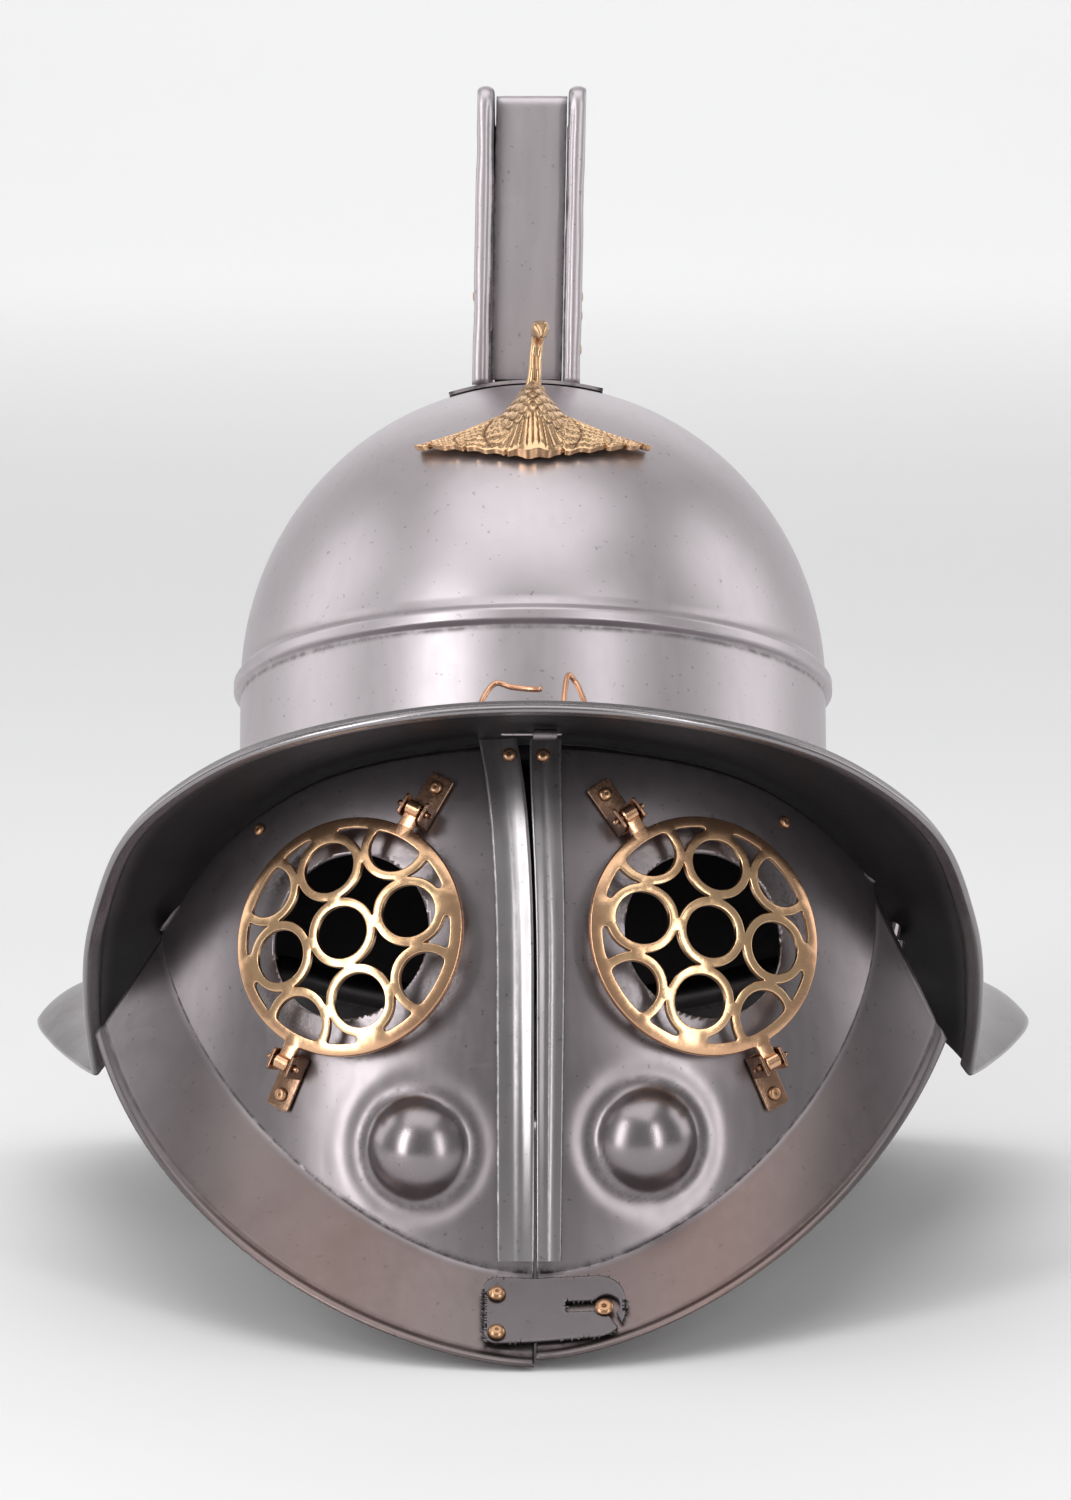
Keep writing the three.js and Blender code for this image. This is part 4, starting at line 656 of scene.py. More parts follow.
def buildPlate(half):
    # both parts of the half on one grid, lifted by the boss, with the eye cut out of it
    across = np.linspace(0, 1, 165)
    down = np.concatenate([np.linspace(0, 1, 132), 1 + np.linspace(0, 1, 42)[1:]])
    grid = halfPoint(half, across[:, None], down[None])
    # upper edge filed lower near the temple, where it passes under the brim as the half opens
    grid[..., 2] -= 1.9 * bell(across, 0.92, 0.2)[:, None] * np.exp(-down / 0.06)[None]
    normal = normalsOf(grid) * (-half["side"])
    cx, cz = half["boss"]
    d = np.linalg.norm(grid - faceAt(cx, cz), axis=-1)
    onFace = (down < 0.995)[None]
    lift = np.where(onFace, bossLift(d), 0)
    lift = lift + face["lip"] * smooth(1.9, 1.94, down)[None] - 0.35 * bell(down, 1.885, 0.012)[None]
    raised = grid + normal * lift[..., None]
    axes, origin = eyeFrame(half)
    local = (grid - origin) @ axes
    toEye = np.hypot(local[..., 0], local[..., 1])
    field = np.where(np.abs(local[..., 2]) < 30, toEye - eye["hole"], 50)
    r = boss["radius"]
    # darker along the crease, round the boss groove, along the lip and by the seam; the darkening along the
    # top edge is painted shadow from the brim
    dirt = 0.9 * bell(down, 1.0, 0.008)[None] + 0.5 * bell(d, 1.2 * r, 0.09 * r)
    dirt = dirt + 0.7 * bell(down, 1.885, 0.01)[None]
    dirt = dirt + 0.5 * np.exp(-down / 0.02)[None] + 0.35 * (1 - smooth(0.02, 0.05, across))[:, None]
    patchy = smooth(0.1, 0.9, np.sin(grid[..., 0] * 0.11 + 1.3) * np.sin(grid[..., 2] * 0.13 + half["side"]))
    dust = smooth(45, 38, toEye) * (0.15 + 0.5 * patchy) * smooth(-0.2, 0.9, 1 - np.abs(toEye - 36) / 12)
    worn = 0.7 * bell(down, 1.96, 0.025)[None] + 0.8 * bell(d, 0, 0.75 * r)
    glow = 0.5 * smooth(1.0, 1.1, down)[None] * bell(across, 0.35, 0.3)[:, None] + 0 * d
    shade = 0.5 * np.exp(-down / 0.1)[None] + 0.42 * smooth(1.0, 1.08, down)[None] + 0 * d
    marks = {"dirt": dirt, "dust": dust, "worn": worn + 0 * d, "glow": glow, "shade": shade}
    points, quads, tris, marks = trimmed(raised, field, marks)
    name = f"visor_sheet_{half['name']}"
    piece = makePiece(name, points, quads, tris, marks, closed=False, away=vec(0, 0, -95))
    thicken(piece, sheet)
    return finish(piece, f"visor_{half['name']}", shadedSteel, [f"visor_plate_{half['name']}"])


def buildStrip(half):
    # ribbon along the seam; the left one turns up into a keel at the seam, the right one has a low ridge
    width, keel, seatOf = 12.5, 2.2, 0.5
    t = np.linspace(0, 1, 120)[:, None]
    s = np.linspace(0, 1, 26)[None]
    start = topEdge(np.array([0.0]))[0]
    z = mix(start + 2, -(face["chinCrease"] - 4), t)
    left = half["side"] < 0
    wide = width * (mix(1, 0.95, t) if left else mix(0.84, 0.64, t))
    tall = (keel if left else 0.35 * keel) * np.sin(np.pi * np.minimum(1, t * 0.85 + 0.1)) ** 0.7
    x = seamEdge(half["side"], z) + half["side"] * (0.15 + s * wide)
    fold = tall * np.maximum(0, 1 - s / 0.42)
    bead = 0.35 * bell(s, 0.42, 0.08) * bell(t, 0.6, 0.5) - 0.2 * bell(s, 0.7, 0.18)
    zs = np.broadcast_to(z, x.shape)
    base, normal = faceAt(x, zs), faceNormal(x, zs)
    soft = 0.35 * (bell(s, 0, 0.03) + bell(s, 1, 0.03))
    outer = base + normal * (seatOf + sheet + fold + bead - soft)[..., None]
    inner = base + normal * (seatOf + fold * 0.8)[..., None]
    dirt = 0.8 * bell(s, 1, 0.05) + 0.3 * bell(s, 0.45, 0.05) + 0 * t
    piece = shellPiece(f"seam_ribbon_{half['name']}", outer, inner, marks={"dirt": dirt})
    return finish(piece, f"visor_{half['name']}", stripSteel, [f"seam_strip_{half['name']}"])


stripLook = dict(brightLook, light=(0.42, 0.4, 0.41), dark=(0.31, 0.29, 0.3), rough=0.3)
stripSteel = metalMaterial("strip steel", stripLook, ("dirt",))
for half in halves:
    buildPlate(half)
    buildStrip(half)
print("plates and strips in")


# rivets
def buildRivet(name, point, normal, body, radius, rise, dimple=0.25):
    # low dome r(t) = R cos t, h(t) = H sin t, with a small dimple in the middle
    t = np.linspace(0, 1, 14)
    radii = radius * np.cos(t * np.pi / 2) ** 0.8
    heights = rise * np.sin(t * np.pi / 2) - dimple * bell(radii, 0, 0.42 * radius)
    radii = np.concatenate([[radius * 0.96], radii[:-1]])
    heights = np.concatenate([[-0.1], heights[:-1]])
    turn = np.linspace(0, 2 * np.pi, 28, endpoint=False)
    rings = spun(radii, heights, turn)
    at = frameOn(point + normal * 0.3, normal, vec(0.2, 0.1, 1))
    poles = place(at, np.array([[0, 0, -0.1], [0, 0, rise - dimple]]))
    dirt = bell(radii, radius, 0.15 * radius) + 0.5 * bell(radii, 0, 0.4 * radius)
    dirt = np.repeat(dirt[:, None], len(turn), 1)
    piece = ringsPiece(name + "_head", place(at, rings), poles, {"dirt": dirt})
    return finish(piece, body, rivetBrass, [name])


for half in halves:
    body = f"visor_{half['name']}"
    z = topEdge(np.array([0.0]))[0] - 4
    x = seamEdge(half["side"], z) + half["side"] * half["rivetIn"]
    n = faceNormal(x, z)
    foot = faceAt(x, z) + n * (sheet + 0.5 + half["rivetLift"] - 0.3)
    buildRivet(f"seam_rivet_{half['name']}", foot, n, body, 2.4, 1.9)
    x, z = half["side"] * half["strapFrom"][0], 3 - half["strapFrom"][1]
    n = faceNormal(x, z)
    buildRivet(f"hinge_rivet_{half['name']}", faceAt(x, z) - n * 0.2, n, body, 2.2, 1.5)
print("rivets in")

# eye grilles
grille = {"radius": 40.4, "rim": 3.8, "thickness": 2.4, "standoff": 3.4, "dome": 6.6, "inward": 2.8,
          "down": 1.7, "pitch": 23.6, "hole": 8.95, "band": 2.95, "bridge": 8, "earReach": 5.2,
          "earWidth": 5.2, "barrel": 2.7, "pin": 1.0, "clear": 0.35, "soft": 0.38}


def arc(x, y, radius, start, end, steps):
    turn = np.radians(np.linspace(start, end, steps + 1))
    return np.stack([x + radius * np.cos(turn), y + radius * np.sin(turn)], -1)


def spin(points, degrees):
    c, s = np.cos(np.radians(degrees)), np.sin(np.radians(degrees))
    return points @ np.array([[c, s], [-s, c]])


def grilleLoops(half):
    # outline with its two ears, and the holes: nine rings and the gaps that they leave
    inside, ring = grille["radius"] - grille["rim"], grille["hole"] + grille["band"]
    pitch = grille["pitch"]
    earHalf = np.degrees(np.arcsin(grille["earWidth"] / 2 / grille["radius"]))
    outline = []
    first, second = half["ears"]
    for turn, after in ((first, second), (second, first + 360)):
        way = vec(np.cos(np.radians(turn)), np.sin(np.radians(turn)))
        cross = vec(-way[1], way[0])
        tip = way * (grille["radius"] + grille["earReach"])
        ends = np.array([tip + k * cross * grille["earWidth"] / 2 for k in (-1, 1)])
        outline += [ends, arc(0, 0, grille["radius"], turn + earHalf, after - earHalf, 70)]
    corner = pitch * np.sqrt(2)
    spread = lambda r: np.degrees(np.arccos((inside**2 + corner**2 - r**2) / (2 * inside * corner)))
    cut, meet = spread(grille["hole"]), spread(ring)
    lens = np.degrees(np.arctan2(pitch / 2, np.sqrt(ring**2 - (pitch / 2) ** 2)))
    bridge = np.radians(grille["bridge"])
    holes = [arc(0, 0, grille["hole"], 0, 352.5, 47)]
    for quarter in range(4):
        turned = lambda p: spin(p, 90 * quarter)
        holes.append(turned(arc(pitch, 0, grille["hole"], 0, 352.5, 47)))
        chord = arc(0, 0, inside, 45 - cut, 45 + cut, 12)
        start = np.degrees(np.arctan2(chord[-1, 1] - pitch, chord[-1, 0] - pitch))
        end = np.degrees(np.arctan2(chord[0, 1] - pitch, chord[0, 0] - pitch)) + 360
        holes.append(turned(np.concatenate([chord, arc(pitch, pitch, grille["hole"], start, end, 40)[1:-1]])))
        span = (2 * lens - 90) / 2
        sides = [arc(x, y, ring, way + span, way - span, 8)[:-1]
                 for x, y, way in ((0, 0, 45), (pitch, 0, 135), (pitch, pitch, 225), (0, pitch, 315))]
        holes.append(turned(np.concatenate(sides)))
        along = np.degrees(np.arctan2(np.sin(bridge), np.cos(bridge) - pitch / inside))
        outside = arc(0, 0, inside, grille["bridge"], 45 - meet, 10)
        begin = np.degrees(np.arctan2(outside[-1, 1] - pitch, outside[-1, 0] - pitch))
        gap = np.concatenate([outside, arc(pitch, pitch, ring, begin, -lens, 8)[1:],
                              arc(pitch, 0, ring, lens, along, 10)[1:]])
        holes += [turned(gap), turned((gap * vec(1, -1))[::-1])]
    holes = [softened(spin(hole, half["gridTurn"]), 0.45, 9) for hole in holes]
    return [softened(np.concatenate(outline), 0.6, 2)] + holes


def softened(loop, spacing, rounds):
    # points spaced evenly along the closed line, then each moved to (before + 2 own + after) / 4, many times
    closed = np.concatenate([loop, loop[:1]])
    run = np.concatenate([[0], np.cumsum(np.linalg.norm(np.diff(closed, axis=0), axis=1))])
    at = np.linspace(0, run[-1], max(12, int(run[-1] / spacing)), endpoint=False)
    even = np.stack([np.interp(at, run, closed[:, k]) for k in (0, 1)], -1)
    for _ in range(rounds):
        even = (np.roll(even, 1, 0) + 2 * even + np.roll(even, -1, 0)) / 4
    return even


def grilleFrame(half):
    axes, origin = eyeFrame(half)
    shift = vec(-half["side"] * grille["inward"], -grille["down"], grille["standoff"])
    return axes, origin + axes @ shift


def earFrame(half, turn):
    # third axis along the ear's pin, in the grille's own frame
    t = np.radians(turn)
    way = vec(np.cos(t), np.sin(t), 0)
    axes, origin = grilleFrame(half)
    point = way * (grille["radius"] + grille["earReach"] + grille["barrel"] * 0.6)
    point[2] = grille["thickness"] / 2
    own = np.stack([way, vec(0, 0, 1), vec(way[1], -way[0], 0)], -1)
    return axes @ own, axes @ point + origin


def barrelMesh(at, radius, bore, length, soft=0.4):
    # ring of square section with softened corners, carried round its axis
    section = np.array([[bore, -0.5], [bore, 0.5], [radius - soft, 0.5], [radius, 0.5 - soft / length],
                        [radius, -0.5 + soft / length], [radius - soft, -0.5]]) * vec(1, length)
    turn = np.linspace(0, 2 * np.pi, 30, endpoint=False)[:, None]
    out, along = section.T
    points = np.stack([out * np.cos(turn), out * np.sin(turn), along + 0 * turn], -1)
    return place(at, points), gridFaces(30, len(section), True, True)


def area2(loop):
    # shoelace sum, positive where the loop runs anticlockwise
    after = np.roll(loop, -1, 0)
    return (loop[:, 0] * after[:, 1] - loop[:, 1] * after[:, 0]).sum() / 2


def insetLoop(loop, by):
    # each point moves along the mean of the normals of its two edges, by / cos of half their angle
    before, after = loop - np.roll(loop, 1, 0), np.roll(loop, -1, 0) - loop
    turn = lambda e: unit(np.stack([-e[:, 1], e[:, 0]], -1))
    n1, n2 = turn(before), turn(after)
    middle = unit(n1 + n2)
    reach = np.maximum((middle * n1).sum(1, keepdims=True), 0.6)
    return loop + middle * by / reach


def insideLoops(points, loops):
    # odd number of edges to the right of the point
    crossings = 0
    for loop in loops:
        a, b = loop[None], np.roll(loop, -1, 0)[None]
        px, py = points[:, :1], points[:, 1:]
        spans = (a[..., 1] > py) != (b[..., 1] > py)
        rise = np.where(spans, b[..., 1] - a[..., 1], 1)
        edgeX = a[..., 0] + (py - a[..., 1]) * (b[..., 0] - a[..., 0]) / rise
        crossings = crossings + (spans & (px < edgeX)).sum(1)
    return crossings % 2 == 1


def drawnOut(loops, depth, soft):
    # outline and holes drawn out from z = 0 to the depth, every edge rounded by a quarter circle
    loops = [loop if (area2(loop) > 0) == (k == 0) else loop[::-1] for k, loop in enumerate(loops)]
    turn = np.radians([90, 60, 30, 0])
    profile = [(soft * (1 - np.cos(a)), soft * (1 - np.sin(a))) for a in turn]
    profile += [(inset, depth - z) for inset, z in profile[::-1]]
    points, quads, start, rims = [], [], 0, []
    for loop in loops:
        rings = np.stack([np.column_stack([insetLoop(loop, inset), np.full(len(loop), z)])
                          for inset, z in profile])
        points.append(rings.reshape(-1, 3))
        quads.append(gridFaces(len(profile), len(loop), False, True) + start)
        rims.append(start + np.arange(len(loop)))
        start += rings.shape[0] * len(loop)
    points, quads = np.concatenate(points), np.concatenate(quads)
    low = np.concatenate(rims)
    sizes = [len(rim) for rim in rims]
    first = np.repeat(np.cumsum([0] + sizes[:-1]), sizes)
    k = np.arange(len(low))
    after = first + (k - first + 1) % np.repeat(sizes, sizes)
    flat = delaunay_2d_cdt(points[low, :2].tolist(), np.stack([k, after], -1).tolist(), [], 0, 1e-7)
    tris = np.array([f for f in flat[2] if len(f) == 3])
    spots = np.array(flat[0])
    inner = [insetLoop(loop, soft) for loop in loops]
    tris = tris[insideLoops(spots[tris].mean(1), inner)]
    caps = [np.column_stack([spots, np.full(len(spots), z)]) for z in (0.0, depth)]
    lowCap, highCap = tris[:, ::-1] + len(points), tris + len(points) + len(spots)
    faces = quads.tolist() + lowCap.tolist() + highCap.tolist()
    return np.concatenate([points] + caps), faces


def solidPiece(name, groups, sharp=30):
    # several closed bodies as one piece, each turned to face outwards
    mesh = bpy.data.meshes.new(name)
    points, faces = [], []
    for ownPoints, ownFaces in groups:
        start = sum(len(p) for p in points)
        points.append(ownPoints.reshape(-1, 3))
        faces += [[int(v) + start for v in face] for face in ownFaces]
    mesh.from_pydata(toRow(np.concatenate(points)).tolist(), [], faces)
    mesh.update()
    work = bmesh.new()
    work.from_mesh(mesh)
    bmesh.ops.remove_doubles(work, verts=work.verts, dist=1e-6)
    bmesh.ops.recalc_face_normals(work, faces=work.faces)
    work.to_mesh(mesh)
    work.free()
    mesh.polygons.foreach_set("use_smooth", np.ones(len(mesh.polygons), bool))
    mesh.set_sharp_from_angle(angle=np.radians(sharp))
    piece = bpy.data.objects.new(name, mesh)
    bpy.context.collection.objects.link(piece)
    return piece


def placed(piece):
    spots = np.empty(len(piece.data.vertices) * 3)
    piece.data.vertices.foreach_get("co", spots)
    return spots.reshape(-1, 3)


def markPoints(piece, mark, values):
    layer = piece.data.attributes.new(mark, "FLOAT", "POINT")
    layer.data.foreach_set("value", values.astype(np.float32))


def buildGrille(half):
    points, faces = drawnOut(grilleLoops(half), grille["thickness"], grille["soft"])
    out = np.hypot(points[:, 0], points[:, 1]) / grille["radius"]
    points[:, 2] += grille["dome"] * np.maximum(0, 1 - out**2)
    groups = [(place(grilleFrame(half), points), faces)]
    for turn in half["ears"]:
        bore = grille["pin"] + grille["clear"]
        groups.append(barrelMesh(earFrame(half, turn), grille["barrel"], bore, grille["earWidth"]))
    piece = solidPiece(f"eye_grille_{half['name']}", groups)
    local = placed(piece) - toRow(grilleFrame(half)[1])
    out = np.linalg.norm(local, axis=-1) * 1000
    level = local @ (toRow(grilleFrame(half)[0][:, 2]) - toRow(vec(0, 0, 0))) * 1e6
    level = level - grille["dome"] * np.maximum(0, 1 - (out / grille["radius"]) ** 2)
    markPoints(piece, "glow", 0.75 * smooth(34, 41, out) + 0.5 * smooth(1.6, 0.4, level))
    markPoints(piece, "dirt", 0.5 * smooth(1.2, 0.2, level))
    return finish(piece, f"visor_{half['name']}", brass, [f"grille_{half['name']}"])


for half in halves:
    buildGrille(half)
print("grilles in")

# brackets under the ears
bracket = {"width": 9, "tail": 12, "sheet": 1.1, "fin": 7.5, "lift": 0.65}


def roundedPlate(length, width, depth, radius, soft=0.25, hole=None):
    # flat plate with rounded corners, drawn out along its own third axis
    a, b = length / 2 - radius, width / 2 - radius
    loop = np.concatenate([arc(x, y, radius, start, start + 90, 6) for x, y, start in
                           ((a, b, 0), (-a, b, 90), (-a, -b, 180), (a, -b, 270))])
    points, faces = drawnOut([loop] + ([hole] if hole is not None else []), depth, soft)
    return points - vec(0, 0, depth / 2), faces


def buildBracket(half, turn, where):
    b = bracket
    earAxes, centre = earFrame(half, turn)
    foot = faceAt(centre[0], centre[2])
    normal = faceNormal(foot[0], foot[2])
    at = frameOn(foot, normal, earAxes[:, 0])
    local = (centre - at[1]) @ at[0]
    height = local[2] + grille["barrel"] * 0.9
    length = b["fin"] + b["tail"]
    sole, faces = roundedPlate(length, b["width"], b["sheet"], 1.2)
    sole = sole + vec(local[0] + length / 2 - b["fin"] / 2, local[1], b["lift"] + b["sheet"] / 2)
    groups = [(place(at, sole), faces)]
    for sign in (-1, 1):
        tall = height - b["lift"]
        slot = arc(0, local[2] - (height + b["lift"]) / 2, 1.35, 0, 345, 23)
        fin, finFaces = roundedPlate(b["fin"], tall, b["sheet"], 1.1, hole=slot)
        fin = np.stack([fin[:, 0], -fin[:, 2], fin[:, 1]], -1)
        fin += vec(local[0], local[1] + sign * (b["width"] - b["sheet"]) / 2, (height + b["lift"]) / 2)
        groups.append((place(at, fin), finFaces))
    name = f"{half['name']}_{where}"
    body = f"visor_{half['name']}"
    piece = solidPiece(f"ear_bracket_{name}", groups)
    finish(piece, body, bronze, [f"bracket_{name}"])
    reach = b["width"] / 2 + 2
    s = np.linspace(-1, 1, 13)
    path = earAxes[:, 2] * (s * reach)[:, None] + centre
    size = grille["pin"] * (1 + 0.25 * (np.abs(s) > 0.9)) * np.where(np.abs(s) == 1, 0.7, 1)
    rings = tubeRings(path, size, 16, start=normal)
    pin = ringsPiece(f"ear_pin_{name}", rings, [path[0], path[-1]])
    finish(pin, body, bronze, [f"grille_pin_{name}"])
    spot = vec(local[0] + b["fin"] / 2 + b["tail"] * 0.6, local[1], b["lift"] + b["sheet"])
    buildRivet(f"bracket_rivet_{name}", place(at, spot), normal, body, 2.4, 1.5)


for half in halves:
    for turn, where in zip(half["ears"], ("upper", "lower")):
        buildBracket(half, turn, where)
print("brackets in")

# chin latch
latch = {"left": 16, "right": 30, "top": 0.19, "bottom": 0.875, "lift": 1.4, "slope": 0.55, "stud": 24,
         "studDown": 0.53, "studLow": 0.025,
         "hole": 4.4, "slotHeight": 4.5, "slotLength": 9}


def flangeAt(x, down, lift):
    # over both flanges: the one further forward, then out along the flange's own slope
    x, down = np.broadcast_arrays(np.asarray(x, float), np.asarray(down, float))
    angle = np.degrees(np.arcsin(np.abs(x) / face["flangeHalfWidth"]))
    left, right = [halfPoint(h, angle / h["edgeAngle"], 1 + down) for h in halves]
    p = np.stack([x, np.minimum(left[..., 1], right[..., 1]), (left[..., 2] + right[..., 2]) / 2], -1)
    return p + vec(0, -np.cos(latch["slope"]), np.sin(latch["slope"])) * lift


def flangeNormal(x):
    down = latch["studDown"]
    p = flangeAt(x, down, 0)
    return unit(np.cross(flangeAt(x, down + 0.02, 0) - p, flangeAt(x + 0.5, down, 0) - p))


def buildLatch():
    # plate over the seam, cut to a rounded outline, with a keyhole and a slit that opens out of it
    x = np.linspace(-latch["left"] - 1.5, latch["right"] + 1.5, 180)[:, None]
    s = np.linspace(latch["top"] - 0.08, latch["bottom"] + 0.08, 110)[None]
    grid = flangeAt(x, s, latch["lift"] + sheet)
    at = flangeAt(latch["stud"], latch["studDown"], latch["lift"])
    axes, origin = frameOn(at, flangeNormal(latch["stud"]), vec(1, 0, 0))
    local = (grid - origin) @ axes
    u, v = local[..., 0], local[..., 1]
    topV = (flangeAt(latch["stud"], latch["top"], latch["lift"] + sheet) - origin) @ axes[:, 1]
    lowV = (flangeAt(latch["stud"], latch["bottom"], latch["lift"] + sheet) - origin) @ axes[:, 1]
    along = np.broadcast_to(x, u.shape)
    lean = 0.03 * (along - latch["stud"])
    high, low = topV + 0.25 * lean, lowV + 2.2 * lean
    halfTall, middle = (high - low) / 2, (high + low) / 2
    centre = (latch["right"] - latch["left"]) / 2
    corner = np.where(along > centre, 9.5, 4.5)
    qx = np.abs(along - centre) - ((latch["right"] + latch["left"]) / 2 - corner)
    qy = np.abs(v - middle) - (halfTall - corner)
    outline = corner - np.hypot(np.maximum(qx, 0), np.maximum(qy, 0)) - np.minimum(np.maximum(qx, qy), 0)
    hole = np.hypot(u, v) - latch["hole"]
    slotHalf = (latch["hole"] + latch["slotLength"]) / 2
    slot = np.maximum(np.abs(u + slotHalf) - slotHalf, np.abs(v) - latch["slotHeight"] / 2)
    t = np.radians(-62)
    a, b = u * np.cos(t) + v * np.sin(t), v * np.cos(t) - u * np.sin(t)
    slit = np.maximum(np.abs(b) - mix(1.7, 0.75, np.clip(a / 12, 0, 1)), np.abs(a - 13) - 13)
    field = np.minimum(outline, np.minimum(hole, np.minimum(slot, slit)))
    ripple = bell(along, 0.5, 9) * 0.15
    grid = grid - vec(0, -1, 0.6) * ripple[..., None]
    marks = {"dirt": 0.5 * bell(np.minimum(hole, slit), 0, 0.5), "dust": 0 * u,
             "worn": 0.8 * bell(field, 0, 0.7), "glow": 0 * u, "shade": 0.5 + 0 * u}
    points, quads, tris, marks = trimmed(grid, field, marks)
    piece = makePiece("chin_latch", points, quads, tris, marks, closed=False, away=vec(0, 0, -100))
    thicken(piece, sheet)
    finish(piece, "visor_left", shadedSteel, ["latch_plate"])
    for where, down in (("upper", 0.33), ("lower", 0.76)):
        spot = flangeAt(-latch["left"] + 4.2, down, latch["lift"] + sheet)
        buildRivet(f"latch_rivet_{where}", spot, flangeNormal(-latch["left"] + 4.2), "visor_left", 3, 2.2)
    n = flangeNormal(latch["stud"])
    spot = flangeAt(latch["stud"] - 0.7, latch["studDown"] + latch["studLow"], 0.5) + n * 0.3
    r = np.array([1.9, 1.9, 2.9, 3.15, 3.1, 2.6, 1.8, 1.0, 0.5])
    h = np.array([0, 1.85, 2.0, 2.3, 2.6, 3.05, 3.35, 3.3, 3.15])
    turn = np.linspace(0, 2 * np.pi, 32, endpoint=False)
    rings = spun(r, h, turn)
    at = frameOn(spot, n, vec(1, 0, 0))
    poles = place(at, np.array([[0, 0, 0], [0, 0, 3.1]]))
    dirt = np.repeat((bell(h, 1.9, 0.3) + 0.4 * bell(r, 0, 1))[:, None], 32, 1)
    stud = ringsPiece("latch_stud_head", place(at, rings), poles, {"dirt": dirt})
    finish(stud, "visor_right", rivetBrass, ["latch_stud"])


buildLatch()
print("latch in")

# crest
crest = {"width": 38.6, "roll": 3.2, "foot": 33, "top": 241.5, "leanForward": 33, "tail": 108,
         "tailHeight": 12, "shift": -0.3, "lean": 0.021, "stripInset": 5, "base": 54, "saddle": 0.6,
         "rivetRise": 2.9}
crestSide = crest["width"] / 2 - crest["roll"]


def domeZ(x, y):
    # band + dome sqrt(1 - (x / a)^2 - (y / b)^2)
    spread = (x / bowl["halfWidth"]) ** 2 + (y / bowl["halfLength"]) ** 2
    return bowl["band"] + bowl["dome"] * np.sqrt(np.maximum(0, 1 - spread))


def domeNormal(x, y):
    z = (domeZ(x, y) - bowl["band"]) / bowl["dome"] ** 2
    return unit(np.stack(np.broadcast_arrays(x / bowl["halfWidth"] ** 2, y / bowl["halfLength"] ** 2, z), -1))


def onDome(x, y, out):
    x, y, out = np.broadcast_arrays(np.asarray(x, float), np.asarray(y, float), np.asarray(out, float))
    return np.stack([x, y, domeZ(x, y)], -1) + domeNormal(x, y) * out[..., None]


def overDome(x, y, out):
    return domeZ(x, y) + out / domeNormal(x, y)[..., 2]


def crestX(z):
    return crest["shift"] + crest["lean"] * (z - crest["top"])


def leaned(points):
    points = points.copy()
    points[..., 0] += crestX(points[..., 2])
    return points


def crestEdge(inset, steps=(40, 12, 90)):
    # straight up the front, a small curve round the corner, then a cubic back and down to the tail
    c = crest
    lift = c["saddle"] + sheet
    roll = c["roll"] + inset
    lean = c["leanForward"] / (c["top"] - domeZ(0, c["foot"]))
    foot = vec(-c["foot"] + roll, domeZ(crestSide, c["foot"]) + lift + 0.5)
    corner = vec(-c["foot"] - c["leanForward"] + roll, c["top"] - c["roll"] - 0.3 * inset)
    before, after = vec(corner[0] + lean * 7, corner[1] - 7), vec(corner[0] + 7, corner[1] - 0.4)
    tail = vec(c["tail"] - 1.6 * inset, domeZ(crestSide, c["tail"]) + c["tailHeight"] - 0.4 * inset)
    third, fourth = vec(mix(corner[0], tail[0], 0.42), corner[1] - 1), vec(mix(corner[0], tail[0], 0.93),
                                                                           mix(tail[1], corner[1], 0.62))
    t = [np.linspace(0, 1, n)[:, None] for n in steps]
    straight = mix(foot, before, t[0])
    bend = (1 - t[1]) ** 2 * before + 2 * t[1] * (1 - t[1]) * corner + t[1] ** 2 * after
    back = ((1 - t[2]) ** 3 * after + 3 * t[2] * (1 - t[2]) ** 2 * third + 3 * t[2] ** 2 * (1 - t[2]) * fourth
            + t[2] ** 3 * tail)
    return np.concatenate([straight, bend[1:], back[1:]])


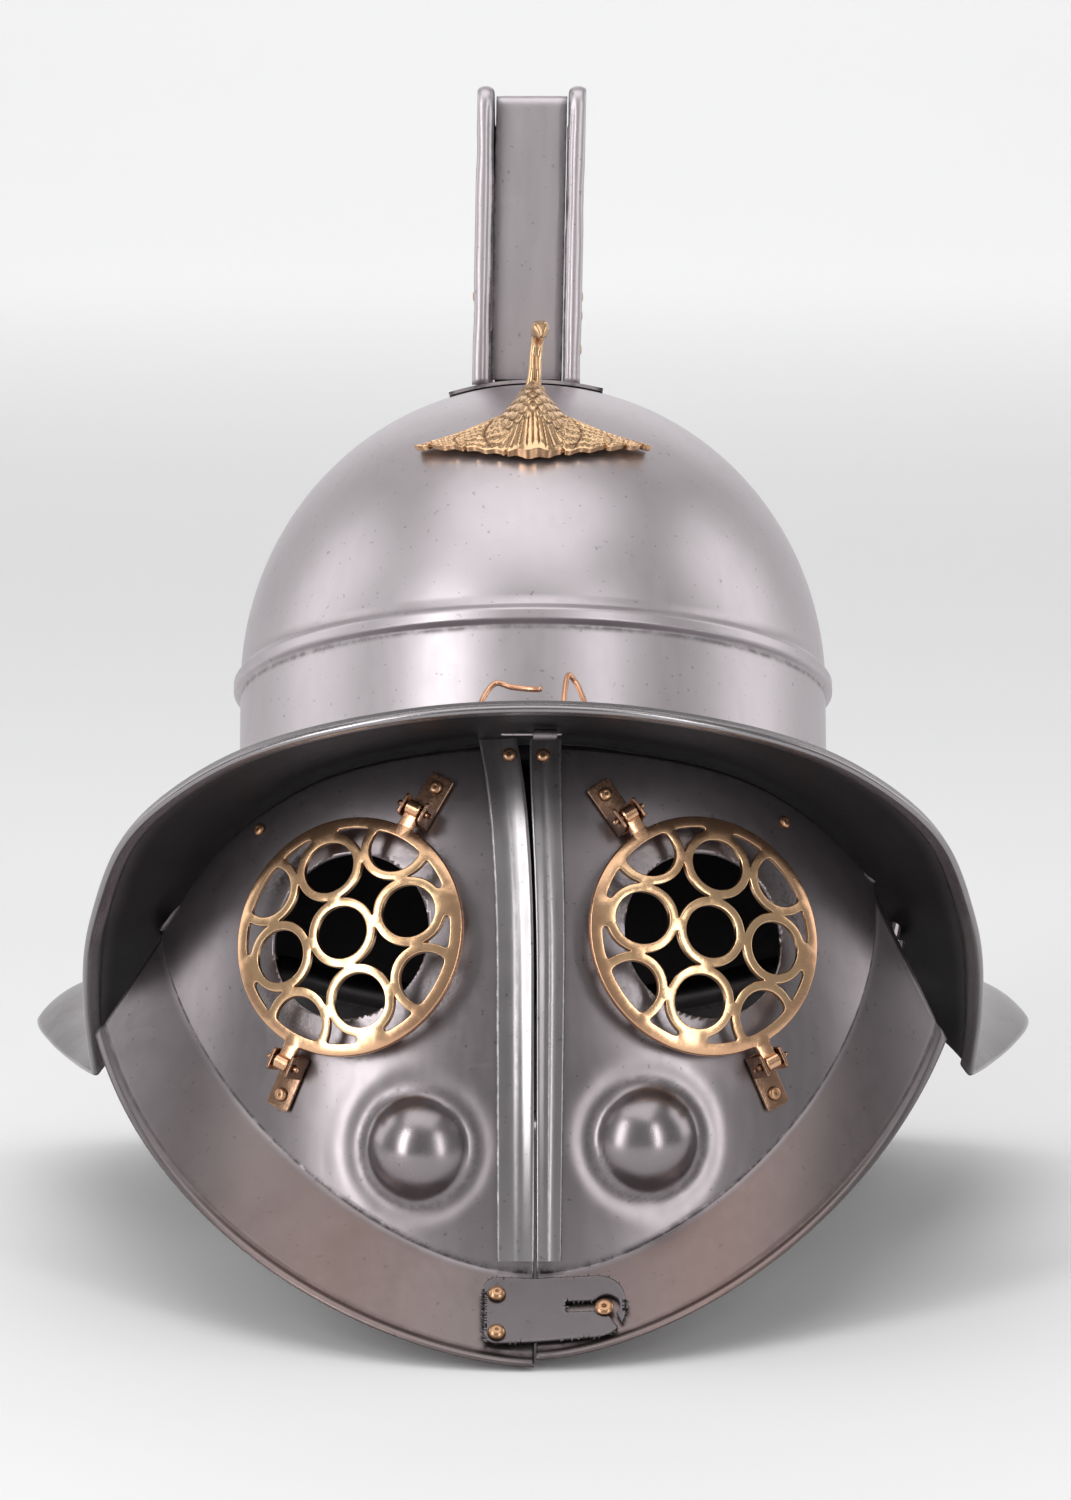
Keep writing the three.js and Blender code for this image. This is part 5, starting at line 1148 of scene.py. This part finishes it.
def buildCrestSide(side):
    # flat sheet under the edge line, and the sheet's edge rolled over outwards into a long bead
    name = "left" if side < 0 else "right"
    edge = crestEdge(0)
    y = edge[:, 0]
    rows = np.linspace(0, 1, 30)[None]
    yBottom = np.linspace(y[0], y[-1], len(y))
    innerBottom = crestSide - sheet + side * crestX(domeZ(crestSide, yBottom))
    bottom = np.stack([yBottom, overDome(innerBottom, yBottom, crest["saddle"] + sheet + 0.6)], -1)
    flat = mix(edge[:, None], bottom[:, None], rows[..., None])
    wave = 0.12 * np.sin(flat[..., 0] / 17 + side) * np.sin(flat[..., 1] / 23)
    outer = np.stack([side * (crestSide + sheet / 2) + wave, flat[..., 0], flat[..., 1]], -1)
    back = outer - vec(side * sheet, 0, 0)
    dirt = 0.6 * np.exp(-rows * 30) + 0.8 * np.exp(-(1 - rows) * 22) + 0 * wave
    wall = shellPiece(f"crest_wall_{name}", leaned(outer), leaned(back), marks={"dirt": dirt})
    finish(wall, "helmet", brightSteel, [f"crest_side_{name}"])
    path = np.concatenate([np.full((len(edge), 1), side * crestSide), edge], 1)
    turn = np.linspace(0, 2 * np.pi, 44, endpoint=False)
    along = unit(np.gradient(path, axis=0))
    sideways = np.broadcast_to(vec(side, 0, 0), path.shape)
    outward = np.cross(along, sideways)
    outward = outward * np.sign(outward[:, 1:2] * -1 + outward[:, 2:3])
    # flattened bead: superellipse, its inner flank dished and its width wandering a little along the edge
    wander = 1 + 0.05 * np.sin(edge[:, 1] / 9 + side) + 0.04 * np.sin(edge[:, 1] / 4.3 + 2 * side)
    wide = np.sign(np.cos(turn)) * np.abs(np.cos(turn)) ** 0.85 * crest["roll"]
    deep = np.sign(np.sin(turn)) * np.abs(np.sin(turn)) ** 0.9 * crest["roll"] * 0.9
    level = edge[:, 1] - edge[:, 1].max()
    dish = 0.5 * bell(np.cos(turn), -0.45, 0.22) * (np.sin(turn) > 0) * smooth(-2, -9, level)[:, None]
    flare = smooth(-26, 0, level) * 0.35 * (edge[:, 0] < -30)
    x = np.clip(wide[None] * wander[:, None] + flare[:, None], -crest["roll"] * 1.12, crest["roll"])
    rings = path[:, None] + sideways[:, None] * x[..., None] + outward[:, None] * (deep - dish)[..., None]
    # painted shade on the bead's inner flank, in the dark gap by the crest strip
    marks = {"dirt": 0.7 * bell(np.cos(turn), -0.9, 0.2) * (np.sin(turn) > -0.3) + 0 * x}
    bead = ringsPiece(f"crest_roll_{name}", leaned(rings), [leaned(path[0]), leaned(path[-1])], marks)
    finish(bead, "helmet", brightSteel, [f"crest_side_{name}"])


def buildCrestStrip():
    # ribbon between the two sheets, set back from their edges, its sides bent a little inwards
    half = crestSide - crest["roll"] - 0.3
    edges = []
    for inset in (crest["stripInset"], crest["stripInset"] + sheet):
        edge = crestEdge(inset)
        edge[:, 1] += 2.6 * smooth(-40, 0, edge[:, 1] - edge[:, 1].max())
        floor = overDome(0.0 * edge[:, 0], edge[:, 0], crest["saddle"] + sheet + 0.6)
        edge[:, 1] = np.maximum(edge[:, 1], floor)
        edges.append(edge)
    s = np.linspace(-1, 1, 30)
    grids = []
    for edge in edges:
        grid = np.concatenate([np.broadcast_to((s * half)[None, :, None], (len(edge), 30, 1)),
                               np.repeat(edge[:, None], 30, 1)], -1)
        grids.append(grid)
    dip = 0.5 * smooth(0.8, 1, np.abs(s))[None] * vec(0, 1, 0).reshape(3, 1, 1)
    outer = grids[0] + np.moveaxis(dip, 0, -1)
    down = np.linspace(0, 1, len(edges[0]))[:, None]
    # painted shade along the strip's sides, in the dark gaps by the beads; darker also where it starts at the
    # front foot
    dirt = 0.9 * smooth(0.9, 1, np.abs(s)) + 0.4 * np.exp(-down * 60)
    piece = shellPiece("crest_ribbon", leaned(outer), leaned(grids[1]), marks={"dirt": dirt})
    finish(piece, "helmet", brightSteel, ["crest_strip"])


def buildCrestBase():
    # saddle that follows the dome, its width held in near the tail
    start = np.arcsin((-crest["foot"] - 3) / bowl["halfLength"])
    end = np.arcsin((crest["tail"] + 1) / bowl["halfLength"])
    y = bowl["halfLength"] * np.sin(np.linspace(start, end, 90))[:, None]
    room = bowl["halfWidth"] * np.sqrt(np.maximum(0, 1 - (y / bowl["halfLength"]) ** 2 - 0.02))
    width = np.minimum(crest["base"] / 2, room)
    s = np.linspace(-1, 1, 48)[None]
    x = crestX(domeZ(0 * y, y)) + s * width
    outer = onDome(x, y, crest["saddle"] + sheet)
    inner = onDome(x, y, crest["saddle"])
    # darker at the saddle's edges, and painted shade in the gap under the feet of the crest walls
    dirt = 0.9 * smooth(0.88, 0.97, np.abs(s)) + 0.8 * bell(np.abs(s) * width, crestSide, 3.5) + 0 * y
    piece = shellPiece("crest_saddle", outer, inner, marks={"dirt": dirt})
    finish(piece, "helmet", brightSteel, ["crest_base"])


for side in (-1, 1):
    buildCrestSide(side)
    for k in range(4):
        t = (k + 0.5) / 4
        y = mix(-crest["foot"] - 12, crest["tail"] - 42, t)
        z = mix(domeZ(0, y) + 34, domeZ(0, y) + 24, t)
        x = crestX(z) + side * (crestSide + sheet / 2)
        name = "left" if side < 0 else "right"
        buildRivet(f"crest_rivet_{name}_{k + 1}", vec(x, y, z), vec(side, 0, 0), "helmet", 2.8,
                   crest["rivetRise"])
buildCrestStrip()
buildCrestBase()
print("crest in")

# bird
bird = {"span": 78, "back": 62, "front": 102, "body": 7, "wing": 2.4, "neckHeight": 20,
        "nicks": (-34, -22.5, -9, 10, 24, 30.5, 36), "arcs": (13, 23)}


def cut(phase, width):
    # 1 on the lines where the phase is a whole number, 0 beyond the width on both sides of them
    return smooth(width, 0.25 * width, np.abs((phase + 0.5) % 1 - 0.5))


def buildBird():
    # wings: a sheet over the dome from the leading to the trailing edge, with feathers cut into it
    b = bird
    s = np.linspace(-1, 1, 341)[:, None]
    t = np.linspace(0, 1, 100)[None]
    a = np.abs(s)
    x = s * b["span"] / 2
    out = np.abs(x)
    lead = -mix(b["back"], b["front"] * 0.825, np.minimum(1, (a / 0.27) ** 0.75))
    lead = lead - np.where(a > 0.27, 3.5 * np.sin(np.pi * (a - 0.27) / 0.73), 0)
    nicks = sum(0.7 * bell(x, at, 0.45) for at in b["nicks"])
    trail = -b["front"] + 15 * a**1.7 + nicks + 0.3 * np.sin(0.9 * x)
    y = mix(lead, trail, t)
    hump = b["body"] * np.exp(-((s / 0.17) ** 2)) * np.sin(np.pi * (0.12 + 0.76 * t))
    rise = b["wing"] * (0.75 + 0.25 * np.sin(np.pi * t)) + hump
    lift = 0.6 + 2.6 * t * t * (0.4 + 0.6 * a)
    # body: two families of scallops; wings: long feathers, arcs across them and short slanting barbs
    row, column = y / 2.5, x / 3.1
    scales = np.maximum(cut(row / 2 + 0.3 * np.abs(np.cos(np.pi * column)), 0.16),
                        cut(row / 2 + 0.5 + 0.3 * np.abs(np.cos(np.pi * (column + 0.5))), 0.16))
    fan = cut(np.arctan2(x, 5.0 + 16 * (t - 0.7)) * 4.6, 0.18)
    quills = cut(t * 5.6 + 0.5 * np.sin(out * 0.16) + 0.06 * out, 0.14)
    barbs = cut(out * 0.55 - t * 4.5 + 0.4 * np.sin(t * 35), 0.2) * 0.5
    arcs = sum(bell(out, at + 3.2 * np.sin(np.pi * t), 0.42) for at in b["arcs"])
    onBody = smooth(12.5, 9.5, out + 3 * t)
    onFan = smooth(11, 8, out) * smooth(0.7, 0.78, t)
    wing = np.maximum(np.maximum(quills, barbs), arcs)
    feathers = mix(mix(wing, scales, onBody), fan, onFan)
    inside = smooth(0.0, 0.05, t) * smooth(0.99, 0.94, t) * smooth(1, 0.975, a)
    rim = 0.25 * bell(t, 0.965, 0.02) + 0.2 * bell(t, 0.02, 0.02)
    outer = onDome(x, y, lift + rise + rim - 0.5 * feathers * inside)
    inner = onDome(x, y, lift)
    dirt = inside * feathers * 0.95
    wings = shellPiece("bird_wings", outer, inner, marks={"dirt": dirt}, sharp=50)
    finish(wings, "helmet", castBrass, ["bird"])
    root = onDome(0, -b["back"] - 6, b["wing"])
    h = b["neckHeight"]
    way = root + np.array([[0, -2, -2.5], [0, 0, 0], [0.6, -2.5, 0.3 * h], [0.9, -1.5, 0.62 * h],
                           [1.6, -3.5, 0.88 * h], [2.4, -8.5, h], [2.8, -13, 0.9 * h], [3, -17, 0.72 * h]])
    path = curveThrough(way, 110)
    u = np.linspace(0, 1, 110)
    thick = np.interp(u, [0, 0.12, 0.25, 0.55, 0.64, 0.72, 0.82, 0.9, 0.97, 1],
                      [5.2, 3.4, 2.35, 2.15, 2.6, 3.3, 3.1, 1.7, 1.1, 0.7])
    thick = np.convolve(np.pad(thick, 4, "edge"), np.ones(9) / 9, "valid")
    turn = np.linspace(0, 2 * np.pi, 40, endpoint=False)[None]
    head = smooth(0.6, 0.7, u)[:, None] * smooth(0.93, 0.86, u)[:, None]
    square = 1 + 0.06 * head * np.cos(4 * turn) * -1
    cleft = 1 - 0.16 * bell(turn, 1.5 * np.pi, 0.3) * (1 - head) * smooth(0.1, 0.2, u)[:, None]
    scales = 1 + 0.07 * np.sin(6 * turn) * np.sin(u * 75)[:, None] * smooth(0.24, 0.12, u)[:, None]
    spokes = tubeRings(path, thick, 40, start=vec(1, 0, 0)) - path[:, None]
    rings = path[:, None] + spokes * (square * cleft * scales)[..., None]
    # painted shade on the underside of the head and beak; darker also along the neck's front cleft and
    # between the scales
    beak = smooth(0.72, 0.8, u)[:, None] * (np.sin(turn) < 0.2)
    dirt = 0.75 * bell(turn, 1.5 * np.pi, 0.22) * (1 - head) + 0.6 * beak
    dirt = dirt + 6 * np.maximum(0, 1 - scales - 0.01)
    neck = ringsPiece("bird_neck", rings, [path[0], path[-1]], {"dirt": np.clip(dirt, 0, 1)})
    finish(neck, "helmet", castBrass, ["bird"])


buildBird()
print("bird in")


# wires and lug on the brim
def buildWire(name, points, radius=0.95):
    p = np.array(points, float)
    p = np.column_stack([p[:, 0], p[:, 1], brimZ(p[:, 0], p[:, 1], 0.3 + radius) + p[:, 2]])
    path = curveThrough(p, 80)
    size = radius * np.clip(np.minimum(np.arange(80), np.arange(80)[::-1]) / 2 + 0.4, 0, 1)
    piece = ringsPiece(name + "_bend", tubeRings(path, size, 16), [path[0], path[-1]])
    finish(piece, "helmet", copper, [name])


buildWire("brim_wire_left", [[-17, -162, 0], [-16.6, -158, 5.5], [-12.5, -154, 11.6], [-7, -154.5, 10.2],
                             [-1, -156, 9.2], [3, -158, 8.8]])
buildWire("brim_wire_right", [[10, -163, 0], [10.4, -158, 8], [11.6, -153, 14.6], [14.2, -152, 12.2],
                              [16.3, -155, 7], [18.5, -161, 0]])


def buildLug():
    # small barrel and the thin pin that runs through it
    y = -(face["forward"] + face["depth"] + 12)
    z = float(brimZ(4.0, y, -sheet - 0.6)) - 1.8
    axes = np.stack([vec(0, 1, 0), vec(0, 0, 1), vec(1, 0, 0)], -1)
    points, faces = barrelMesh((axes, vec(4, y, z)), 1.8, 0.8, 8, 0.3)
    piece = solidPiece("lug_barrel", [(points, faces)])
    finish(piece, "helmet", plainShadedSteel, ["brim_lug"])
    path = np.column_stack([np.linspace(-10.5, 9.5, 20), np.full(20, y), np.full(20, z)])
    size = 0.5 * np.clip(np.minimum(np.arange(20), np.arange(20)[::-1]) + 0.6, 0, 1)
    pin = ringsPiece("lug_wire", tubeRings(path, size, 14), [path[0], path[-1]])
    finish(pin, "helmet", brightPlain, ["lug_pin"])


brightPlain = metalMaterial("plain bright steel", brightLook)
buildLug()
for half in halves:
    for node in ("hinge_strap_", "hinge_pin_"):
        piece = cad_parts[node + half["name"]]
        piece.data.materials.clear()
        piece.data.materials.append(plainShadedSteel)
print("wires, lug and hinges in")

# floor, light and camera
studio = {"floor": (0.9, 0.9, 0.905), "world": 0.3, "side": 9, "sweep": 4.2}


def buildFloor():
    # flat round the helmet, then curving up far behind it
    x, y = np.meshgrid(*[np.linspace(-studio["side"], studio["side"], 91)] * 2, indexing="ij")
    far = np.maximum(y - studio["sweep"], 0)
    z = 0.55 * far**2
    points = np.stack([x, y, z], -1).reshape(-1, 3)
    mesh = bpy.data.meshes.new("floor")
    mesh.from_pydata(points.tolist(), [], gridFaces(91, 91).tolist())
    mesh.polygons.foreach_set("use_smooth", np.ones(len(mesh.polygons), bool))
    floor = bpy.data.objects.new("floor", mesh)
    bpy.context.collection.objects.link(floor)
    material, tree, shader, coords = newMaterial("floor paper")
    cloud = coords.noise(1.5, 2, 0.5)
    tone = studio["floor"]
    tree.links.new(cloud.tint(tone, tuple(c * 0.99 for c in tone)).socket, shader.inputs["Base Color"])
    shader.inputs["Roughness"].default_value = 0.9
    mesh.materials.append(material)


def buildLight(name, spot, aim, size, power):
    data = bpy.data.lights.new(name, "AREA")
    data.shape, data.size, data.size_y, data.energy = "RECTANGLE", size[0], size[1], power
    light = bpy.data.objects.new(name, data)
    light.location = spot
    light.rotation_euler = (Vector(aim) - Vector(spot)).to_track_quat("-Z", "Y").to_euler()
    bpy.context.collection.objects.link(light)


buildFloor()
buildLight("left box", (-1.15, -1.25, 0.75), (0, 0, 0.24), (0.45, 1.5), 12)
buildLight("right box", (0.95, -1.5, 0.7), (0, 0, 0.24), (0.3, 1.4), 7)
buildLight("overhead", (-0.1, -0.35, 1.7), (0, -0.05, 0.25), (1.8, 1.5), 12)
buildLight("left wall", (-1.9, 0.5, 0.9), (0, 0.1, 0.25), (1.2, 1.6), 9)
buildLight("right wall", (1.9, 0.5, 0.9), (0, 0.1, 0.25), (1.2, 1.6), 9)
buildLight("backdrop", (0, 4.2, 5.0), (0, 7.4, 1.4), (8.0, 1.6), 240)
world = bpy.data.worlds.new("studio")
world.use_nodes = True
world.node_tree.nodes["Background"].inputs[0].default_value = (1, 1, 1, 1)
world.node_tree.nodes["Background"].inputs[1].default_value = studio["world"]
bpy.context.scene.world = world

# camera: 2 m from the middle of the face, 12.1 degrees below the helmet's own level
view = {"distance": 2000, "below": 12.1, "target": (0, 0, 11.9), "lens": 5600 / 1500 * 36,
        "shiftX": 2.5 / 1500}
e = np.radians(view["below"])
ahead = vec(0, np.cos(e), np.sin(e))
stand = toRow(vec(*view["target"]) - view["distance"] * ahead)
aim = toRow(vec(*view["target"]))
camera = bpy.data.objects.new("camera", bpy.data.cameras.new("camera"))
camera.location = stand
camera.rotation_euler = Vector(aim - stand).to_track_quat("-Z", "Y").to_euler()
camera.data.lens, camera.data.sensor_width, camera.data.shift_x = view["lens"], 36, view["shiftX"]
camera.data.clip_end = 60
bpy.context.collection.objects.link(camera)
bpy.context.scene.camera = camera
bpy.context.scene.view_settings.view_transform = "Standard"
print("stage in")
